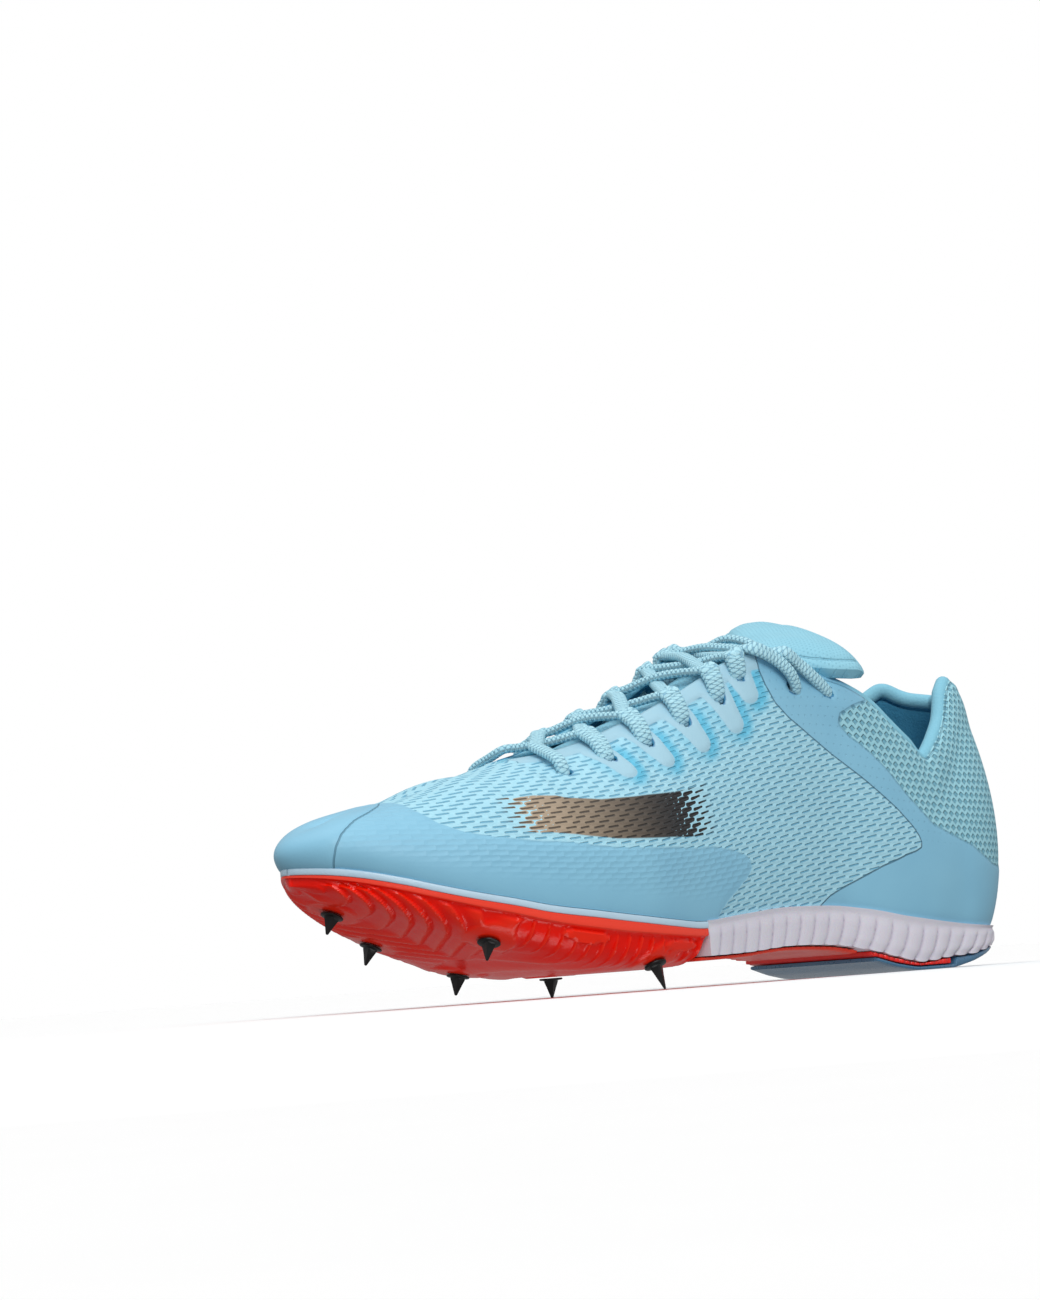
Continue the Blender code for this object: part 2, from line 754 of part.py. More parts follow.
def insert_share(along):
    """1 under the insert, 0 clear of it, with a short slope at each end."""
    share = along / LENGTH
    near_back = min(max((share - INSERT[0]) / INSERT_SLOPE + 2, 0), 1)
    near_front = min(max((INSERT[1] - share) / INSERT_SLOPE + 2, 0), 1)
    return near_back * near_front


def build_insole(collection):
    places = stations(INSOLE_INSET, LENGTH - INSOLE_INSET, INSOLE_COLUMNS)

    def under(along):
        return edge_height(along) + CEMENT + CLEAR + WALL + OVERLAY

    def top(along):
        return under(along) + INSOLE_THICK

    mesh = slab("insole", places, top, under, INSOLE_INSET, steps=2)
    new_object("insole", mesh, collection, material("sock_liner", (0.02, 0.16, 0.3), 0.85))


def build_tongue(collection):
    """Padded flap that follows the inside of the lace stays and stands free above the collar."""
    rings = []
    rows = column(TONGUE, "along")
    for share in np.linspace(rows[0], rows[-1], TONGUE_ROWS):
        along = share * LENGTH
        crest = smooth(TONGUE, "crest", share) * INSTEP_HEIGHT
        pad = smooth(TONGUE, "pad", share)
        thick = TONGUE_FRONT + (TONGUE_TOP - TONGUE_FRONT) * pad
        wide = smooth(TONGUE, "wide", share) * TONGUE_WIDTH / 2
        droop = smooth(TONGUE, "droop", share) * INSTEP_HEIGHT
        lean = smooth(TONGUE, "lean", share) * INSTEP_HEIGHT
        mid = centre(along)
        outer = []
        inner = []
        for k in range(-TONGUE_STEPS, TONGUE_STEPS + 1):
            t = k / TONGUE_STEPS
            y = wide * t
            edge = 1 - t ** TONGUE_ROUND
            z = crest - droop * t * t - lean * t
            slope = -(2 * droop * t + lean) / wide
            run = math.sqrt(1 + slope * slope)
            body = thick * (TONGUE_RIM + (1 - TONGUE_RIM) * edge)
            outer.append(place(along, mid + y, z))
            inner.append(place(along, mid + y + slope / run * body, z - body / run))
        rings.append(outer + inner[::-1])
    mesh = ring_loft("tongue", rings)
    new_object("tongue", mesh, collection, material("tongue_pad", (0.22, 0.5, 0.66), 0.8))


def build_spikes(collection):
    finish = material("spike", (0.02, 0.02, 0.022), 0.35)
    for number, row in enumerate(SPIKES[1:], start=1):
        at, out = spike_seat(*row)
        start = CLEAR + BOSS_HEIGHT
        dip = SPIKE_PROFILE[-1][0] * SPIKE_BASE * math.sqrt(1 - out.z * out.z)
        reach = (at.z - dip) / -out.z if number in RESTING else SPIKE_LENGTH
        turn = out.to_track_quat("Z", "Y").to_matrix()
        rings = []
        for radius, height in SPIKE_PROFILE[1:]:
            rise = start + height * (reach - start)
            ring = []
            for k in range(SPIKE_SIDES):
                angle = 2 * math.pi * k / SPIKE_SIDES
                across = radius * SPIKE_BASE
                ring.append(at + turn @ Vector((across * math.cos(angle), across * math.sin(angle), rise)))
            rings.append(ring)
        name = f"spike_{number}"
        new_object(name, ring_loft(name, rings), collection, finish)


def ribbon(name, path, ups, width, thick):
    """A flat braided cord along a path, its flat side facing up."""
    rings = []
    for i, at in enumerate(path):
        before = path[max(i - 1, 0)]
        after = path[min(i + 1, len(path) - 1)]
        run = (after - before).normalized()
        up = (ups[i] - run * ups[i].dot(run)).normalized()
        side = run.cross(up)
        ring = []
        for k in range(LACE_SIDES):
            angle = 2 * math.pi * (k + 0.5) / LACE_SIDES
            ring.append(at + side * (width / 2 * math.cos(angle)) + up * (thick / 2 * math.sin(angle)))
        rings.append(ring)
    return ring_loft(name, rings)


def on_stay(row, side, turn, gap):
    """Point and direction just above the lace stay beside a slot."""
    foot = row[0] * LENGTH
    out = wall_normal(foot, side, turn)
    return wall_place(foot, side, turn) + out * (gap + OVERLAY), out


def above_tongue(point, gap):
    """The same place, raised where needed so that a cord there clears the tongue."""
    along = HEEL_REST - point.x
    share = along / LENGTH
    crest = smooth(TONGUE, "crest", share) * INSTEP_HEIGHT
    wide = smooth(TONGUE, "wide", share) * TONGUE_WIDTH / 2
    droop = smooth(TONGUE, "droop", share) * INSTEP_HEIGHT
    lean = smooth(TONGUE, "lean", share) * INSTEP_HEIGHT
    t = (-point.y - centre(along)) / wide
    return Vector((point.x, point.y, max(point.z, crest - droop * t * t - lean * t + gap)))


def crossing(front, back, side):
    """From a slot on one side, over the tongue, to the next slot on the other side."""
    gap = LACE_THICK / 2 + LACE_CLEAR
    over = gap + LACE_CLEAR * LACE_OVER
    start = [on_stay(front, side, turn, gap) for turn in (front[1], (front[1] + 1) / 2)]
    start.append(on_stay(front, side, 1.0, over))
    end = [on_stay(back, -side, 1.0, over)]
    end += [on_stay(back, -side, turn, gap) for turn in ((back[1] + 1) / 2, back[1])]
    middle = []
    for t in LACE_PLACES:
        point = start[-1][0].lerp(end[0][0], t)
        point.z += LACE_ARCH * t * (1 - t) * 4
        middle.append((above_tongue(point, over), Vector((0, 0, 1))))
    whole = start + middle + end
    return [p for p, _ in whole], [n for _, n in whole]


def build_lace(collection, cutters):
    """The lace's crossings joined into one solid, clear of what they pass over."""
    rows = SLOTS[1:-1]
    lace = None
    for number, (front, back) in enumerate(zip(rows, rows[1:]), start=1):
        for side in (1, -1):
            path, ups = crossing(front, back, side)
            mesh = ribbon("lace", path, ups, LACE_WIDTH, LACE_THICK)
            if lace is None:
                lace = new_object("lace", mesh, collection, material("lace", (0.3, 0.63, 0.78), 0.8))
                continue
            strand = new_object(f"strand_{number}_{'outer' if side > 0 else 'inner'}", mesh, cutters)
            hide(strand)
            join = lace.modifiers.new(strand.name, "BOOLEAN")
            join.operation = "UNION"
            join.object = strand


def main():
    for obj in list(bpy.data.objects):
        bpy.data.objects.remove(obj)
    parts = bpy.data.collections.new("track_spike_shoe")
    cutters = bpy.data.collections.new("cutters")
    bpy.context.scene.collection.children.link(parts)
    bpy.context.scene.collection.children.link(cutters)
    upper = build_upper(parts)
    cut_slots(upper, cutters)
    build_midsole(parts)
    build_strip(parts)
    build_plate(parts, cutters)
    build_heel_pieces(parts)
    build_insole(parts)
    build_tongue(parts)
    build_spikes(parts)
    build_lace(parts, cutters)


main()
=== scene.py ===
# Left track spike shoe: fused knit upper, padded tongue, braided laces, ribbed heel foam, studded plate.
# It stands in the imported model's frame: toe to -X, outer side to -Y, floor at z = 0.

import math

import bmesh
import bpy
import numpy as np
from mathutils import Matrix, Vector


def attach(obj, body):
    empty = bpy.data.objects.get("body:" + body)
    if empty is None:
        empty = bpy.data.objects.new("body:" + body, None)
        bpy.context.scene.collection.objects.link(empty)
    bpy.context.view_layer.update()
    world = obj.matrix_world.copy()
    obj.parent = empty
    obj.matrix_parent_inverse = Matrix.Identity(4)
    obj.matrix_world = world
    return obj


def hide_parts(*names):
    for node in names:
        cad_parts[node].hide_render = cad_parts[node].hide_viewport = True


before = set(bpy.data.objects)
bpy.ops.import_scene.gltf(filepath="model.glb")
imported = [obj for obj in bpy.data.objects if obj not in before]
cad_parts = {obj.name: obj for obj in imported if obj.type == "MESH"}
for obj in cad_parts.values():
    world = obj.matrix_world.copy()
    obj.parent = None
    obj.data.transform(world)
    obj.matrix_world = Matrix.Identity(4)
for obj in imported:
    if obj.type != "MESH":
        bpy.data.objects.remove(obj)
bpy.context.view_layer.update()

scene = bpy.context.scene
print("frame loaded:", len(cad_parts), "nodes")

# the last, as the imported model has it, in metres
last = {
    "length": 0.285, "ballWidth": 0.089, "heelWidth": 0.0635, "heelRound": 0.030, "toeRound": 0.055,
    "toeHeight": 0.064, "instepHeight": 0.105, "heelHeight": 0.095, "heelRest": 0.046,
    "soleEdge": 0.022, "toeLift": 0.025, "strip": 0.0027, "stripShown": 0.0021, "plateTip": 0.0025,
    "clear": 0.0003, "cement": 0.00045, "spikeLength": 0.0073, "soleInset": 0.0012, "heelBulge": 0.0062,
    "wall": 0.0018, "collarPad": 0.0045, "tongueWidth": 0.056, "tongueFront": 0.0022,
    "tongueTop": 0.0065, "heelEnd": 0.553, "archStart": 0.285,
}
length = last["length"]

# shares of the sizes above, one row for each section from heel to toe
outlineTable = (
    ("along", "heel", "ball", "shift"),
    (0.000, 0.96, 0.00, 0.000), (0.105, 0.96, 0.00, 0.006), (0.175, 1.00, 0.00, 0.014),
    (0.281, 0.93, 0.00, 0.028), (0.386, 0.58, 0.26, 0.037), (0.491, 0.24, 0.60, 0.031),
    (0.579, 0.00, 0.90, 0.021), (0.667, 0.00, 0.995, 0.014), (0.719, 0.00, 1.000, 0.006),
    (0.772, 0.00, 0.964, -0.003), (0.842, 0.00, 0.856, -0.022), (0.905, 0.00, 0.778, -0.048),
    (0.954, 0.00, 0.704, -0.070), (0.986, 0.00, 0.600, -0.090), (1.000, 0.00, 0.540, -0.112),
)
edgeTable = (
    ("along", "stack", "lift"),
    (0.000, 0.54, 0.00), (0.080, 0.58, 0.00), (0.137, 0.65, 0.00), (0.211, 0.78, 0.00),
    (0.270, 0.92, 0.00), (0.333, 1.01, 0.00), (0.400, 1.03, 0.00), (0.484, 0.97, 0.00),
    (0.558, 0.91, 0.00), (0.614, 0.91, 0.05), (0.667, 0.91, 0.12), (0.730, 0.91, 0.22),
    (0.786, 0.91, 0.32), (0.828, 0.91, 0.44), (0.867, 0.91, 0.55), (0.902, 0.91, 0.67),
    (0.930, 0.91, 0.78), (0.982, 0.91, 0.96), (1.000, 0.91, 1.00),
)
underTable = (
    ("along", "foam", "skin"),
    (0.000, 0.40, 0.330), (0.035, 0.32, 0.270), (0.067, 0.25, 0.160), (0.105, 0.18, 0.050),
    (0.133, 0.17, 0.000), (0.190, 0.12, 0.000), (0.225, 0.20, 0.060), (0.270, 0.34, 0.200),
    (0.333, 0.46, 0.300), (0.400, 0.49, 0.330), (0.488, 0.44, 0.300), (0.554, 0.43, 0.300),
    (1.000, 0.43, 0.300),
)
keelTable = (
    ("along", "rise"),
    (0.550, 0.000), (0.680, 0.000), (0.702, 0.020), (0.744, 0.080), (0.789, 0.205),
    (0.842, 0.385), (0.905, 0.610), (0.940, 0.745), (0.982, 0.930), (1.000, 1.000),
)
toplineTable = (
    ("foot", "along", "gap", "heel", "instep", "toe", "inner", "turn", "bulge"),
    (0.0000, 0.016, 0.000, 0.942, 0.000, 0.000, 0.000, 40, 1.00),
    (0.0140, 0.030, 0.105, 0.962, 0.000, 0.000, 0.000, 40, 1.00),
    (0.0530, 0.055, 0.178, 1.000, 0.000, 0.000, 0.000, 40, 0.90),
    (0.0780, 0.076, 0.215, 0.965, 0.000, 0.000, 0.000, 38, 0.80),
    (0.1050, 0.102, 0.262, 0.850, 0.000, 0.000, 0.000, 36, 0.65),
    (0.1440, 0.144, 0.302, 0.740, 0.000, 0.000, 0.005, 34, 0.50),
    (0.1750, 0.172, 0.300, 0.680, 0.100, 0.000, 0.010, 36, 0.40),
    (0.2110, 0.207, 0.282, 0.620, 0.240, 0.000, 0.015, 40, 0.35),
    (0.2630, 0.259, 0.250, 0.300, 0.623, 0.000, 0.020, 46, 0.35),
    (0.3330, 0.323, 0.216, 0.000, 0.952, 0.000, 0.022, 50, 0.35),
    (0.3900, 0.376, 0.190, 0.000, 0.998, 0.000, 0.024, 54, 0.35),
    (0.4180, 0.403, 0.166, 0.000, 0.985, 0.000, 0.025, 57, 0.35),
    (0.4600, 0.441, 0.143, 0.000, 0.938, 0.000, 0.025, 60, 0.35),
    (0.5260, 0.509, 0.127, 0.000, 0.857, 0.000, 0.018, 64, 0.40),
    (0.6140, 0.593, 0.112, 0.000, 0.778, 0.000, 0.010, 68, 0.45),
    (0.7020, 0.677, 0.082, 0.000, 0.720, 0.000, 0.003, 74, 0.45),
    (0.7300, 0.709, 0.040, 0.000, 0.708, 0.000, 0.000, 80, 0.45),
    (0.7440, 0.721, 0.000, 0.000, 0.702, 0.000, 0.000, 90, 0.45),
    (0.8070, 0.779, 0.000, 0.000, 0.000, 1.100, 0.000, 90, 0.45),
    (0.8770, 0.842, 0.000, 0.000, 0.000, 1.020, 0.000, 90, 0.45),
    (0.9400, 0.895, 0.000, 0.000, 0.000, 0.965, 0.000, 90, 0.50),
    (0.9820, 0.933, 0.000, 0.000, 0.000, 0.925, 0.000, 90, 0.55),
    (1.0000, 0.952, 0.000, 0.000, 0.000, 0.880, 0.000, 90, 0.55),
)
tongueTable = (
    ("along", "crest", "droop", "lean", "pad", "wide"),
    (0.232, 1.072, 0.066, 0.078, 0.75, 0.94), (0.250, 1.074, 0.058, 0.078, 1.00, 0.98),
    (0.275, 1.068, 0.056, 0.070, 1.00, 0.94), (0.300, 1.054, 0.055, 0.046, 1.00, 0.72),
    (0.323, 1.040, 0.050, 0.024, 1.00, 0.52), (0.360, 1.012, 0.055, 0.000, 0.80, 0.46),
    (0.400, 0.980, 0.050, -0.012, 0.60, 0.44), (0.450, 0.920, 0.050, -0.012, 0.20, 0.44),
    (0.520, 0.842, 0.060, -0.008, 0.00, 0.46), (0.600, 0.768, 0.060, 0.000, 0.00, 0.44),
    (0.680, 0.702, 0.045, 0.000, 0.00, 0.40), (0.745, 0.663, 0.030, 0.000, 0.00, 0.30),
)


# reading the tables: a monotone curve through each column

dense = {}


def read(table, name, at):
    key = (table[0], name)
    if key not in dense:
        rows = np.array(table[1:], float)
        x, y = rows[:, 0], rows[:, table[0].index(name)]
        step = np.diff(x)
        rise = np.diff(y) / step
        slope = np.concatenate([rise[:1], np.zeros(len(x) - 2), rise[-1:]])
        for i in range(1, len(x) - 1):
            if rise[i - 1] * rise[i] > 0:
                before, after = 2 * step[i] + step[i - 1], step[i] + 2 * step[i - 1]
                slope[i] = (before + after) / (before / rise[i - 1] + after / rise[i])
        fine = np.linspace(x[0], x[-1], 3001)
        i = np.clip(np.searchsorted(x, fine, side="right") - 1, 0, len(x) - 2)
        t = (fine - x[i]) / step[i]
        value = y[i] * (1 + 2 * t) * (1 - t) ** 2 + y[i + 1] * t * t * (3 - 2 * t)
        value += step[i] * (slope[i] * t * (1 - t) ** 2 + slope[i + 1] * t * t * (t - 1))
        dense[key] = fine, value
    return np.interp(at, *dense[key])


def rounding(distance, radius):
    inside = 1 - np.clip(distance, 0, radius) / radius
    return np.sqrt(np.maximum(0, 1 - inside * inside))


def halfWidth(along):
    share = along / length
    body = read(outlineTable, "heel", share) * last["heelWidth"] / 2
    body = body + read(outlineTable, "ball", share) * last["ballWidth"] / 2
    return body * rounding(along, last["heelRound"]) * rounding(length - along, last["toeRound"])


def centreLine(along):
    return read(outlineTable, "shift", along / length) * last["ballWidth"]


def edgeHeight(along):
    share = along / length
    stack = read(edgeTable, "stack", share) * last["soleEdge"]
    return stack + read(edgeTable, "lift", share) * last["toeLift"]


def foamUnder(along):
    return read(underTable, "foam", along / length) * last["soleEdge"]


def skinUnder(along):
    return read(underTable, "skin", along / length) * last["soleEdge"]


def stripUnder(along):
    return edgeHeight(along) - last["strip"]


def keelHeight(along):
    tip = stripUnder(length) - last["clear"] - last["plateTip"]
    return last["spikeLength"] + read(keelTable, "rise", along / length) * (tip - last["spikeLength"])


def outlinePoint(along, side, inset=0.0):
    along = np.asarray(along, float)
    reach = length * 0.002
    low, high = np.maximum(along - reach, 0), np.minimum(along + reach, length)
    runX = high - low
    runY = centreLine(high) - centreLine(low) + side * (halfWidth(high) - halfWidth(low))
    run = np.hypot(runX, runY)
    outX, outY = -side * runY / run, side * runX / run
    outX = np.where(along <= 0, -1, np.where(along >= length, 1, outX))
    outY = np.where((along <= 0) | (along >= length), 0, outY)
    return along - outX * inset, centreLine(along) + side * halfWidth(along) - outY * inset, outX, outY


def place(along, across, height):
    return np.stack(np.broadcast_arrays(last["heelRest"] - along, -across, height), -1)


def unit(vectors):
    return vectors / np.maximum(np.linalg.norm(vectors, axis=-1, keepdims=True), 1e-12)


def stations(first, end, count):
    grid = first + (end - first) * (1 - np.cos(np.linspace(0, math.pi, 900))) / 2
    edge = np.stack([grid, halfWidth(grid)], -1)
    gone = np.concatenate([[0], np.cumsum(np.linalg.norm(np.diff(edge, axis=0), axis=1))])
    return np.interp(np.linspace(0, gone[-1], count), gone, grid)


def wallPoint(foot, side, turn):
    # a row of the topline says where this part of the wall ends and how it gets there
    along, gap, heel, instep, toe, inner, angle, bulge = (
        read(toplineTable, name, foot / length) for name in toplineTable[0][1:])
    startX, startY, outX, outY = outlinePoint(foot, side, last["soleInset"])
    low = edgeHeight(foot) + last["cement"]
    topAlong, gap, angle = along * length, gap * last["ballWidth"], np.radians(angle)
    high = heel * last["heelHeight"] + instep * last["instepHeight"] + toe * last["toeHeight"]
    high = high + np.where(side < 0, 1, 0) * inner * last["instepHeight"]
    inward = (1 - np.cos(angle * turn)) / (1 - np.cos(angle))
    upward = np.sin(np.minimum(angle * turn, math.pi / 2)) / np.sin(angle)
    bulge = bulge * last["heelBulge"] * np.sin(math.pi * np.minimum(turn, 1) ** 0.8)
    x = startX + (topAlong - startX) * inward + outX * bulge
    y = startY + (centreLine(topAlong) + side * gap - startY) * inward + outY * bulge
    return place(x, y, low + (high - low) * upward)


def wallAt(foot, side, turn):
    # one point of the upper's outer surface and its outward direction
    point = wallPoint(foot, side, turn)
    along = wallPoint(min(foot + 0.001, length), side, turn) - wallPoint(foot - 0.001, side, turn)
    rise = wallPoint(foot, side, min(turn + 0.02, 1.0)) - wallPoint(foot, side, turn - 0.02)
    out = np.cross(along, rise) * side
    out = out / np.linalg.norm(out)
    return point, out if out @ np.array((0, -side, 0.4)) > 0 else -out


# making meshes

def makePiece(name, points, faces, uv=None, values=None, smoothAngle=40):
    # points that meet are joined, and faces that shrink to nothing are left out
    points = np.asarray(points, float)
    key = np.round(points / 2e-6).astype(np.int64)
    _, first, joined = np.unique(key, axis=0, return_index=True, return_inverse=True)
    joined = joined.reshape(-1)
    corners, kept = [], []
    for face in faces:
        ring = []
        for v in face:
            if joined[v] not in [joined[w] for w in ring]:
                ring.append(v)
        if len(ring) > 2:
            kept.append([int(joined[v]) for v in ring])
            corners.extend(ring)
    mesh = bpy.data.meshes.new(name)
    mesh.from_pydata(points[first].tolist(), [], kept)
    if uv is not None:
        layer = mesh.uv_layers.new(name="surface")
        layer.data.foreach_set("uv", np.asarray(uv, np.float32)[corners].ravel())
    for label, data in (values or {}).items():
        layer = mesh.attributes.new(label, "FLOAT", "POINT")
        layer.data.foreach_set("value", np.asarray(data, np.float32)[first])
    mesh.update()
    mesh.shade_smooth()
    mesh.set_sharp_from_angle(angle=math.radians(smoothAngle))
    piece = bpy.data.objects.new(name, mesh)
    scene.collection.objects.link(piece)
    return piece


def gridFaces(rows, columns, start=0, closed=False, flip=False):
    faces = []
    for i in range(rows - 1):
        for j in range(columns if closed else columns - 1):
            k = (j + 1) % columns
            a, b = start + i * columns, start + (i + 1) * columns
            face = (a + j, a + k, b + k, b + j)
            faces.append(face[::-1] if flip else face)
    return faces


def tube(name, rings, uv=None, values=None):
    # a closed body through rings of as many points each
    rings = np.asarray(rings)
    rows, columns = rings.shape[:2]
    faces = gridFaces(rows, columns, closed=True)
    faces.append(tuple(range(columns))[::-1])
    faces.append(tuple(range((rows - 1) * columns, rows * columns)))
    piece = makePiece(name, rings.reshape(-1, 3), faces, uv, values)
    faceOut(piece)
    return piece


def faceOut(piece):
    bm = bmesh.new()
    bm.from_mesh(piece.data)
    bmesh.ops.recalc_face_normals(bm, faces=bm.faces)
    bm.to_mesh(piece.data)
    bm.free()


def finished(piece, material, replaced=()):
    slots = piece.data.materials
    for i, one in enumerate(material if isinstance(material, tuple) else (material,)):
        if i < len(slots):
            slots[i] = one
        else:
            slots.append(one)
    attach(piece, "root")
    if replaced:
        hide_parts(*replaced)
    print("made", piece.name, len(piece.data.polygons), "faces")


def applyModifiers(piece):
    graph = bpy.context.evaluated_depsgraph_get()
    mesh = bpy.data.meshes.new_from_object(piece.evaluated_get(graph), depsgraph=graph)
    piece.modifiers.clear()
    piece.data = mesh


# finishes

def addNode(tree, kind, settings, sockets, out):
    # sockets are linked where the value is one, or else set
    made = tree.nodes.new(kind)
    for label, value in (settings or {}).items():
        setattr(made, label, value)
    for label, value in (sockets or {}).items():
        value = getattr(value, "socket", value)
        if isinstance(value, bpy.types.NodeSocket):
            tree.links.new(value, made.inputs[label])
        else:
            made.inputs[label].default_value = value
    return made.outputs[out]


class Wire:
    # a socket that can be used in sums
    def __init__(self, finish, socket):
        self.finish, self.socket = finish, socket

    def sum(self, operation, *others):
        sockets = dict(enumerate((self, *others)))
        return self.finish.node("ShaderNodeMath", {"operation": operation}, sockets)

    def __add__(self, other):
        return self.sum("ADD", other)

    __radd__ = __add__

    def __sub__(self, other):
        return self.sum("SUBTRACT", other)

    def __rsub__(self, other):
        return self.finish.node("ShaderNodeMath", {"operation": "SUBTRACT"}, {0: other, 1: self})

    def __mul__(self, other):
        return self.sum("MULTIPLY", other)

    __rmul__ = __mul__

    def __truediv__(self, other):
        return self.sum("DIVIDE", other)

    def __abs__(self):
        return self.sum("ABSOLUTE")

    def floor(self):
        return self.sum("FLOOR")

    def fract(self):
        return self.sum("FRACT")

    def sine(self):
        return self.sum("SINE")

    def lower(self, other):
        return self.sum("MINIMUM", other)

    def higher(self, other):
        return self.sum("MAXIMUM", other)

    def step(self, start, end):
        # 0 before start, 1 after end, soft between
        settings = {"interpolation_type": "SMOOTHSTEP"}
        return self.finish.node("ShaderNodeMapRange", settings, {0: self, 1: start, 2: end})


class Finish:
    def __init__(self, name, **constants):
        self.material = bpy.data.materials.new(name)
        self.material.use_nodes = True
        self.tree = self.material.node_tree
        self.shader = self.tree.nodes["Principled BSDF"]
        for label, value in constants.items():
            self.shader.inputs[label.replace("_", " ")].default_value = value

    def node(self, kind, settings=None, sockets=None, out=0):
        return Wire(self, addNode(self.tree, kind, settings, sockets, out))

    def set(self, **sockets):
        for label, value in sockets.items():
            self.tree.links.new(value.socket, self.shader.inputs[label.replace("_", " ")])

    def value(self, name):
        return self.node("ShaderNodeAttribute", {"attribute_name": name}, out=2)

    def surface(self):
        uv = self.node("ShaderNodeUVMap", {"uv_map": "surface"})
        parts = self.node("ShaderNodeSeparateXYZ", None, {0: uv})
        return parts, Wire(self, parts.socket.node.outputs[1])

    def here(self):
        return self.node("ShaderNodeTexCoord", out=3)

    def noise(self, vector, scale, detail=2.0, roughness=0.5):
        sockets = {"Vector": vector, "Scale": scale, "Detail": detail, "Roughness": roughness}
        return self.node("ShaderNodeTexNoise", None, sockets)

    def mix(self, amount, first, second):
        return self.node("ShaderNodeMix", {"data_type": "RGBA"}, {0: amount, 6: first, 7: second}, out=2)

    def bump(self, height, distance=0.001, strength=1.0, normal=None):
        sockets = {"Strength": strength, "Distance": distance, "Height": height}
        if normal:
            sockets["Normal"] = normal
        return self.node("ShaderNodeBump", None, sockets)


def rgb(red, green, blue):
    def linear(value):
        value = value / 255
        return value / 12.92 if value <= 0.04045 else ((value + 0.055) / 1.055) ** 2.4
    return linear(red), linear(green), linear(blue), 1.0


def brick(u, v, cell, pitch):
    # place inside each cell of a brick pattern, from -0.5 to 0.5
    row = (v / pitch).floor()
    return (u / cell + (row * 0.5).fract()).fract() - 0.5, (v / pitch).fract() - 0.5


def evenFinish(name, colours, cloud, grain, rough, relief, **constants):
    # colours drift in clouds, and a finer grain sets roughness and relief
    # with no cloud the grain does both
    f = Finish(name, **constants)
    here = f.here()
    fine = f.noise(here, grain[0], 3.0, grain[1])
    drift = f.noise(here, cloud, 2.0) if cloud else fine
    first, second = (rgb(*colour) for colour in colours)
    f.set(Base_Color=f.mix(drift, first, second), Roughness=rough[0] + fine * rough[1],
          Normal=f.bump(fine, *relief))
    return f.material


# camera and studio

camera = {
    "target": (-0.104, 0.0, 0.045), "azimuth": 43.7983, "height": -1.1, "roll": -4.2773,
    "distance": 2.0, "focal": 6317.09, "frame": 1300, "aimX": 631.2 - 520, "aimY": 849.07 - 650,
}


def makeCamera():
    turn, rise, roll = (math.radians(camera[k]) for k in ("azimuth", "height", "roll"))
    back = Vector((-math.sin(turn) * math.cos(rise), -math.cos(turn) * math.cos(rise), math.sin(rise)))
    right = Vector((math.cos(turn), -math.sin(turn), 0))
    up = back.cross(right)
    right, up = right * math.cos(roll) + up * math.sin(roll), up * math.cos(roll) - right * math.sin(roll)
    eye = Vector(camera["target"]) + back * camera["distance"]
    look = -back - right * camera["aimX"] / camera["focal"] + up * camera["aimY"] / camera["focal"]
    look.normalize()
    right = (right - look * right.dot(look)).normalized()
    data = bpy.data.cameras.new("camera")
    data.lens = camera["focal"] / camera["frame"] * data.sensor_width
    data.clip_start, data.clip_end = 0.05, 50
    made = bpy.data.objects.new("camera", data)
    scene.collection.objects.link(made)
    turned = Matrix((right, right.cross(look), -look)).transposed().to_4x4()
    made.matrix_world = Matrix.Translation(eye) @ turned
    scene.camera = made


studio = {
    "backdrop": 1.0, "below": 0.24, "above": 0.69, "fallStart": -0.5, "fallEnd": 0.9, "floor": 30.0,
    "suns": (
        # name, where it shines from, softness in degrees, strength
        ("key", (-0.50, -0.85, 0.80), 30, 1.25),
        ("top", (-0.15, 0.20, 1.0), 40, 0.55),
    ),
    "lamps": (
        # name, place, size, watts
        ("gloss", (-1.1, -1.2, 0.30), 0.35, 1.6),
        ("sole", (-0.16, -0.11, -0.24), 0.16, 0.16),
    ),
}


